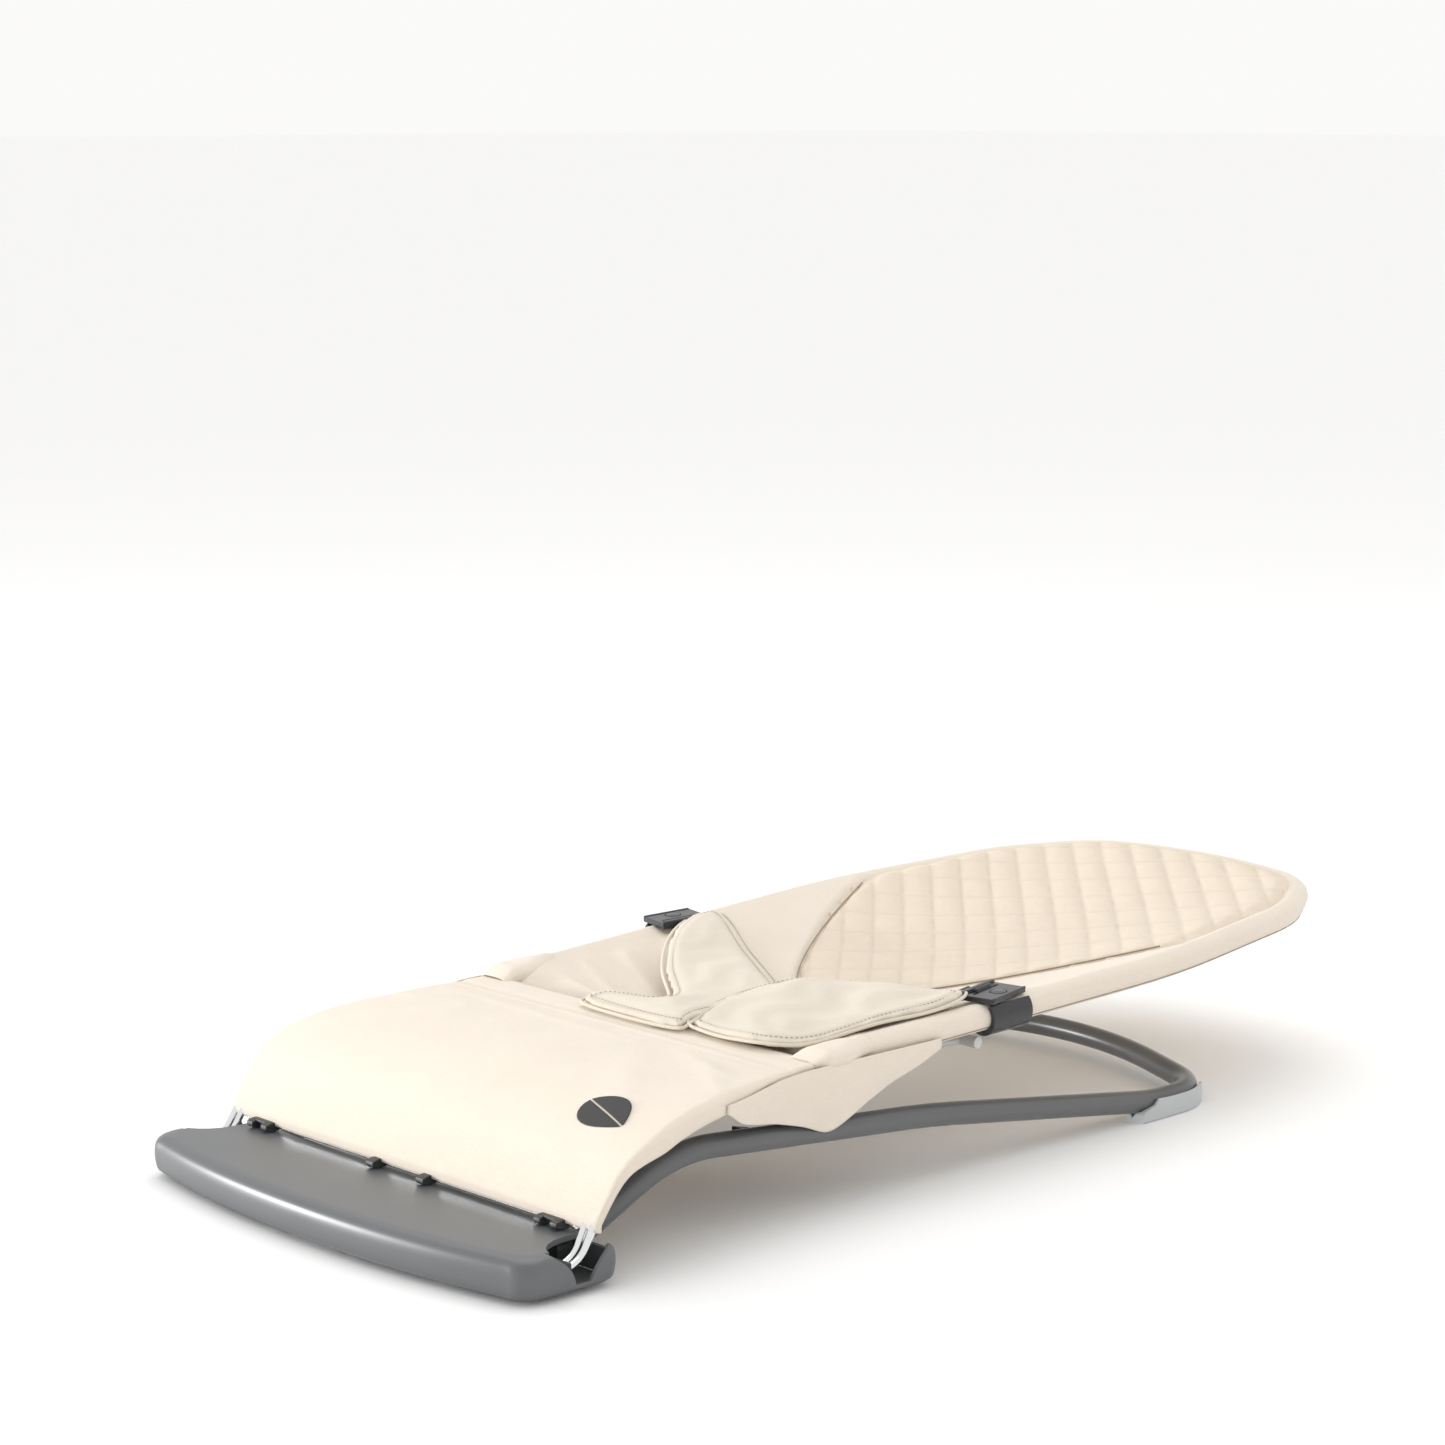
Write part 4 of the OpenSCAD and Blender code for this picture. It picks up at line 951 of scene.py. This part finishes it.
def pad_between(name, top, bottom, material):
    """A closed pad from two grids of the same size, joined round their edges."""
    count, width = top.shape[:2]
    upper = grid_faces(count, width, False)
    lower = upper[:, ::-1] + count * width
    ring = np.concatenate([np.arange(width), np.arange(1, count) * width + width - 1,
                           (count - 1) * width + np.arange(width - 2, -1, -1),
                           np.arange(count - 2, 0, -1) * width])
    following = np.roll(ring, -1)
    walls = np.stack([following, ring, ring + count * width, following + count * width], 1)
    return new_piece(name, np.vstack([top.reshape(-1, 3), bottom.reshape(-1, 3)]),
                     np.vstack([upper, lower, walls]), material)


back_u = np.linspace(-1, 1, 101)[None, :]
back_t = np.linspace(0, 1, 111)[:, None]
back_start = seam_at(back_u * RAIL_X) - 0.0010
back_stop = head_limit(back_u)
back_v = back_start + (back_stop - back_start) * back_t
back_x = back_u * (rail_half(back_v) - 0.0012)
back_w = cloth_height(back_x, back_v) - 0.0004
back = pad_between(
    "quilted_back_pad", on_seat(np.stack([back_x, back_v, back_w], -1)),
    on_seat(np.stack([back_x * 0.985, back_v, back_w - 0.0080], -1)), quilt_cotton)
inflate(back, 0.004, 0.0014)


def coordinates(piece):
    co = np.empty(len(piece.data.vertices) * 3)
    piece.data.vertices.foreach_get("co", co)
    return co.reshape(-1, 3)


def normals(piece):
    no = np.empty(len(piece.data.vertices) * 3)
    piece.data.vertices.foreach_get("normal", no)
    return no.reshape(-1, 3)


def to_seat(points):
    """From the object's frame back to the seat's own: x, distance behind the pins, height."""
    q = points - PIN
    c, sn = math.cos(TILT), math.sin(TILT)
    return q[:, 0], q[:, 1] * c + q[:, 2] * sn, q[:, 2] * c - q[:, 1] * sn


def quilting(x, v):
    """Distance share from the two families of stitch lines: each swings in a slow wave, and the
    value is 0 on a line and 1 half way between two."""
    first = (0.72 * x + 0.69 * v + 0.0022 * np.sin((x - v) / 0.12 + 1.0)) / QUILT_STEP
    second = (-0.60 * x + 0.80 * v + 0.003 * np.sin((x + v) / 0.09)) / (1.9 * QUILT_STEP)
    return np.abs(np.sin(math.pi * first)), np.abs(np.sin(math.pi * second))


# Stores the mask that sets where the cloth gets painted shade.
def set_painted_shade(piece, amount):
    attribute = piece.data.attributes.new("crease", "FLOAT", "POINT")
    attribute.data.foreach_set("value", amount.astype(np.float32))


co = coordinates(back)
x, v, w = to_seat(co)
near_first, near_second = quilting(x, v)
puff = 0.0017 * near_first ** 0.6 * (0.6 + 0.4 * near_second ** 0.6)
pucker = 0.00025 * np.sin(v / 0.0013 + 3 * np.sin(x / 0.004)) * (1 - near_first) ** 2
edge = smoothstep(from_rail(x, v), 0.002, 0.016)
hip = np.abs(v - seam_at(x))
edge_all = edge * smoothstep(hip, 0.0, 0.008)
facing = np.clip(normals(back)[:, 2], 0, 1)
move = (puff + pucker) * edge_all - 0.0012 * (1 - smoothstep(hip, 0.0, 0.006)) * edge
co += normals(back) * (move * facing ** 2)[:, None]
back.data.vertices.foreach_set("co", co.ravel())
# Painted shade: the stitched channels of the quilt are marked to be darkened.
set_painted_shade(back, np.maximum(np.exp(-(near_first / 0.16) ** 2),
                            0.6 * np.exp(-(near_second / 0.16) ** 2)) * edge_all)
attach(back, "seat")
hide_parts("back_panel")

hip_x = np.linspace(-0.150, 0.150, 200)
hip_v = seam_at(hip_x)
hip_line = np.stack([hip_x, hip_v, cloth_height(hip_x, hip_v) + 0.0002], -1)
hip_seam = swept("hip_seam_thread", on_seat(hip_line), 0.00055, seam_thread, sides=6)
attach(hip_seam, "seat")

# ---- Harness ----
# A padded cotton harness, sewn to the panel at the knees. It passes between the child's legs,
# and its two wings reach the rails, where webbing ties them to the buckles. The edge is piped.
# The last value is the strength of the painted shade along the stitched groove.
harness_cotton = cotton("harness_cotton", (0.725, 0.655, 0.55), mottle=0.05, painted_crease_shade=0.10)
FAR_WING = [(-50, -36), (-53, -24), (-44, -9), (-24, -3), (-6, 0), (-14, 18), (-32, 32),
            (-66, 57), (-95, 84), (-124, 117), (-143, 146), (-152, 168), (-150, 182), (-138, 186),
            (-95, 160), (-35, 124), (10, 96), (36, 80), (44, 40), (48, 0), (52, -22), (54, -36)]
NEAR_WING = [(50, -26), (66, -27), (96, -28), (118, -27), (131, -20), (143, -8), (149, 12),
             (151, 36), (154, 60), (160, 88), (163, 112), (160, 128), (152, 140), (140, 144),
             (122, 134), (90, 122), (62, 114), (42, 98), (30, 76), (26, 50), (31, 20), (40, -8)]


def smooth_loop(corners, rounds=3):
    """A closed outline with its corners cut again and again at a quarter and three quarters."""
    p = np.asarray(corners, float)
    for _ in range(rounds):
        q = np.roll(p, -1, axis=0)
        p = np.stack([0.75 * p + 0.25 * q, 0.25 * p + 0.75 * q], 1).reshape(-1, 2)
    return p / 1000


def far_height(x, v):
    """Middle layer of the lower wing: on the panel at the stem, swelling over the seat's front,
    then low across the seat, and rising over the rail to the buckle."""
    stem = 0.0018 * np.exp(-((v + 0.012) / 0.016) ** 2) - 0.0022 * smoothstep(-v, 0.018, 0.036)
    dip = -0.0025 * smoothstep(v, 0.0, 0.03) * (1 - smoothstep(-x, 0.05, 0.11))
    return 0.0090 + 0.0045 * smoothstep(-x, 0.06, 0.145) + stem + dip


def near_height(x, v):
    """Middle layer of the upper wing: its front edge floats over the panel's end, its rear edge
    rides on the lower wing, and its tip climbs over the rail."""
    across = -0.55 * x + 0.83 * v
    waver = 0.0009 * np.sin(x / 0.013 + v / 0.019)
    return (0.0085 + 0.0042 * smoothstep(across, -0.06, 0.03) + waver
            + 0.0022 * smoothstep(x, 0.138, 0.158))


def from_outline(x, v, outline):
    """Distance from a closed outline, as the least over its points."""
    dense = np.vstack([outline + (np.roll(outline, -1, axis=0) - outline) * k
                       for k in (0.0, 0.25, 0.5, 0.75)])
    best = np.full(x.shape, np.inf)
    for chunk in np.array_split(dense, 16):
        best = np.minimum(best, np.hypot(x[:, None] - chunk[None, :, 0],
                                         v[:, None] - chunk[None, :, 1]).min(1))
    return best


def stitch_row(name, path, up, pitch=0.0034, length=0.0023, thick=0.00032):
    """A row of stitches: along the path, one slim eight-sided grain at each pitch."""
    line, _ = walked(path, pitch)
    along = np.gradient(line, axis=0)
    along /= np.linalg.norm(along, axis=1)[:, None]
    across = np.cross(along, up)
    across /= np.linalg.norm(across, axis=1)[:, None]
    rise = np.cross(across, along)
    middle = line[:, None]
    ring = np.stack([across, rise, -across, -rise], 1) * thick
    tips = np.stack([-along, along], 1) * length / 2
    points = np.concatenate([middle + tips, middle + ring], 1)
    pattern = np.array([(0, 3, 2), (0, 4, 3), (0, 5, 4), (0, 2, 5),
                        (1, 2, 3), (1, 3, 4), (1, 4, 5), (1, 5, 2)])
    faces = (pattern[None] + 6 * np.arange(len(line))[:, None, None]).reshape(-1, 3)
    return new_piece(name, points, faces, seam_thread)


WING_THICK = 0.0046
STITCH_INSET = 0.0075
for name, corners, height in (("harness_lower_wing", FAR_WING, far_height),
                              ("harness_upper_wing", NEAR_WING, near_height)):
    plan = smooth_loop(corners)
    flat_pad = np.zeros((2, len(plan), 3))
    flat_pad[:, :, :2] = plan
    flat_pad[1, :, 2] = WING_THICK
    wing = skinned(name, flat_pad, harness_cotton, caps=True, smooth=False)
    turned_out(wing)
    inflate(wing, 0.0038, 0.0022)
    co = coordinates(wing)
    rim = from_outline(co[:, 0], co[:, 1], plan)
    stitched = np.exp(-((rim - STITCH_INSET) / 0.0016) ** 2)
    crumple = 0.0005 * np.sin(co[:, 0] / 0.006 + 2 * np.sin(co[:, 1] / 0.011))
    crumple = crumple * smoothstep(rim, 0.01, 0.03)
    upper = normals(wing)[:, 2]
    co[:, 2] += height(co[:, 0], co[:, 1]) - WING_THICK / 2 + upper * (crumple - 0.0008 * stitched)
    wing.data.vertices.foreach_set("co", on_seat(co).ravel())
    # Painted shade: the stitched groove inside the wing's edge is marked to be darkened.
    set_painted_shade(wing, stitched)
    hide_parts("harness_bib")

    loop = np.vstack([plan, plan[:3]])
    piping_line, _ = walked(np.column_stack([loop, height(loop[:, 0], loop[:, 1])]), 0.003)
    piping = swept(f"{name}_piping", on_seat(piping_line), 0.0012, harness_cotton, sides=10)
    tangent = np.roll(plan, -1, axis=0) - np.roll(plan, 1, axis=0)
    tangent /= np.linalg.norm(tangent, axis=1)[:, None]
    area = np.sum(plan[:, 0] * np.roll(plan[:, 1], -1) - np.roll(plan[:, 0], -1) * plan[:, 1])
    inwards = np.stack([-tangent[:, 1], tangent[:, 0]], 1) * np.sign(area)
    inset = plan + inwards * STITCH_INSET
    inset_w = height(inset[:, 0], inset[:, 1]) + WING_THICK / 2 + 0.0008
    stitches = stitch_row(f"{name}_stitches", on_seat(np.column_stack([inset, inset_w])), (0, 0, 1))
    for piece in (wing, piping, stitches):
        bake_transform(piece)

# ---- Buckles ----
# Each buckle is a flat black plate with a slotted raised bar at its inner end and a round
# release button, held by a rolled clip round the outside of the rail.
buckle_plastic = moulded("buckle_plastic", (0.032, 0.033, 0.036), 0.27, bump=0.08, wear=0.07)
button_plastic = moulded("button_plastic", (0.05, 0.052, 0.055), 0.22, bump=0.05)
BUCKLE_V = 0.157
BUCKLE_TURN = math.radians(10)
PLATE_LOW = SLEEVE_R + 0.0005
buckle_x = rail_at(BUCKLE_V)


def on_plate(points, side):
    """From a buckle's own frame (across, along the rail, up) to the object's frame."""
    p = np.asarray(points, float)
    c, sn = math.cos(BUCKLE_TURN), math.sin(BUCKLE_TURN)
    a = p[..., 0] + 0.0090
    placed = np.stack([buckle_x + a * c - p[..., 1] * sn, BUCKLE_V + a * sn + p[..., 1] * c,
                       PLATE_LOW + p[..., 2]], -1)
    return on_seat(placed) * (side, 1, 1)


def plate_part(name, low, high, side, material, edge):
    """A rounded block given in the buckle's own frame."""
    part = block(name, low, high)
    part.data.vertices.foreach_set("co", on_plate(coordinates(part), side).ravel())
    part.data.materials.clear()
    part.data.materials.append(material)
    turned_out(part)
    if edge:
        soften(part, edge, segments=3)
    return part


def disc(name, at, radius, low, high, dome, side, material):
    """A round button: a wall, a small rounded rim, and a shallow dome."""
    a = np.linspace(0, 2 * math.pi, 40, endpoint=False)
    shares = [(1.0, low), (1.0, high - 0.0006), (0.96, high - 0.0002), (0.9, high),
              (0.6, high + dome * 0.6), (0.3, high + dome * 0.9), (0.05, high + dome)]
    rings = np.array([np.stack([at[0] + radius * k * np.cos(a), at[1] + radius * k * np.sin(a),
                                np.full(40, z)], 1) for k, z in shares])
    piece = skinned(name, on_plate(rings, side), material, caps=True)
    turned_out(piece)
    return piece


for word, side in SIDES:
    plate = plate_part(f"buckle_plate_{word}_body", (-0.0285, -0.020, 0.0), (0.0, 0.020, 0.0040),
                       side, buckle_plastic, 0)
    slots = [plate_part("slot", (x0, -0.015, -0.002), (x0 + 0.0018, 0.015, 0.009), side,
                        buckle_plastic, 0) for x0 in (-0.0245, -0.0205)]
    well = disc("well", (-0.0094, 0), 0.0060, 0.0010, 0.009, 0.0, side, buckle_plastic)
    cut_out(plate, slots + [well])
    soften(plate, 0.0007, segments=3)
    bar = plate_part("bar", (-0.0292, -0.0205, -0.0006), (-0.0250, 0.0205, 0.0056), side,
                     buckle_plastic, 0.0012)
    rim_strip = plate_part("strip", (-0.0016, -0.0195, 0.0022), (0.0006, 0.0195, 0.0046), side,
                           buckle_plastic, 0.0007)
    plate = joined(f"buckle_plate_{word}_body", [plate, bar, rim_strip])
    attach(plate, f"plate_{word}")
    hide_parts(f"buckle_plate_{word}")
    button = disc(f"release_button_{word}", (-0.0094, 0), 0.0056, 0.0028, 0.0042, 0.0007, side,
                  button_plastic)
    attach(button, f"button_{word}")
    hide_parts(f"buckle_button_{word}")

    ring = np.vstack([arc((0, 0), SLEEVE_R + 0.0040, 45, -118, 40),
                      arc((0, 0), SLEEVE_R + 0.0003, -118, 45, 40)])
    lengths = np.array([-0.0185, 0.0185])
    c, sn = math.cos(math.radians(-2.0)), math.sin(math.radians(-2.0))
    bands = np.array([np.stack([buckle_x + ring[:, 0] * c - l * sn,
                                BUCKLE_V + 0.001 + ring[:, 0] * sn + l * c, ring[:, 1]], 1)
                      for l in lengths])
    clip = skinned(f"rail_clip_{word}_roll", on_seat(bands) * (side, 1, 1), buckle_plastic,
                   caps=True, smooth=False)
    turned_out(clip)
    soften(clip, 0.0008, segments=3)
    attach(clip, "seat")
    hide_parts(f"rail_clip_{word}")

# ---- Webbing ----
# Black polyester webbing, 19 mm wide, sewn to the wing tips and folded through the plates.
webbing, tree, shader = new_material("black_webbing", (0.016, 0.016, 0.018), 0.7, Sheen_Weight=0.2)
place = add_node(tree, "TexCoord")
ribs = add_node(tree, "TexWave", {"bands_direction": "DIAGONAL"}, Scale=220)
relief = add_node(tree, "Bump", Strength=0.5, Distance=0.0003)
tree.links.new(place.outputs["Object"], ribs.inputs["Vector"])
tree.links.new(ribs.outputs["Fac"], relief.inputs["Height"])
tree.links.new(relief.outputs["Normal"], shader.inputs["Normal"])
STRAP = [(-0.040, 0.0004), (-0.036, -0.0004), (-0.032, -0.0018), (-0.0275, -0.0022),
         (-0.0245, -0.0008), (-0.0236, 0.0036), (-0.0225, 0.0052), (-0.0212, 0.0040),
         (-0.0198, 0.0004)]
for word, side in SIDES:
    line = np.array([(a, 0, h) for a, h in STRAP])
    line, _ = walked(line, 0.0008)
    width = np.linspace(-0.0095, 0.0095, 9)
    grid = line[:, None] + np.stack([0 * width, width, 0 * width], 1)[None]
    strap = skinned(f"harness_webbing_{word}", on_plate(grid, side), webbing, closed=False)
    thicken(strap, 0.0011)
    turned_out(strap)
    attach(strap, "seat")
    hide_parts(f"harness_strap_{word}")

# ---- Fittings under the seat ----
# Zinc plated pins and shafts, black nylon brackets, racks and knuckles, and the strut that
# props the seat up, in light satin zinc. Their CAD shapes stay and get their finish.
pin_steel = polished("pin_steel", (0.55, 0.56, 0.58), 0.28, streak=180)
refinish(pin_steel, "hinge_shaft", "knee_bar", "rail_pin_left", "rail_pin_right",
         "strut_pin_left", "strut_pin_right", "foot_screws", "rack_screws", "seat_hoop")
zinc = moulded("zinc", (0.62, 0.62, 0.61), 0.45, grain=900, bump=0.06, Metallic=0.3)
refinish(zinc, "strut_arm_left", "strut_arm_right", "strut_bar")
refinish(black_plastic, "tube_clamp_left", "tube_clamp_right", "rack_left", "rack_right",
         "rod_anchor_left", "rod_anchor_right", "knee_bracket_left", "knee_bracket_right",
         "strut_grips", "rail_plug_left", "rail_plug_right")
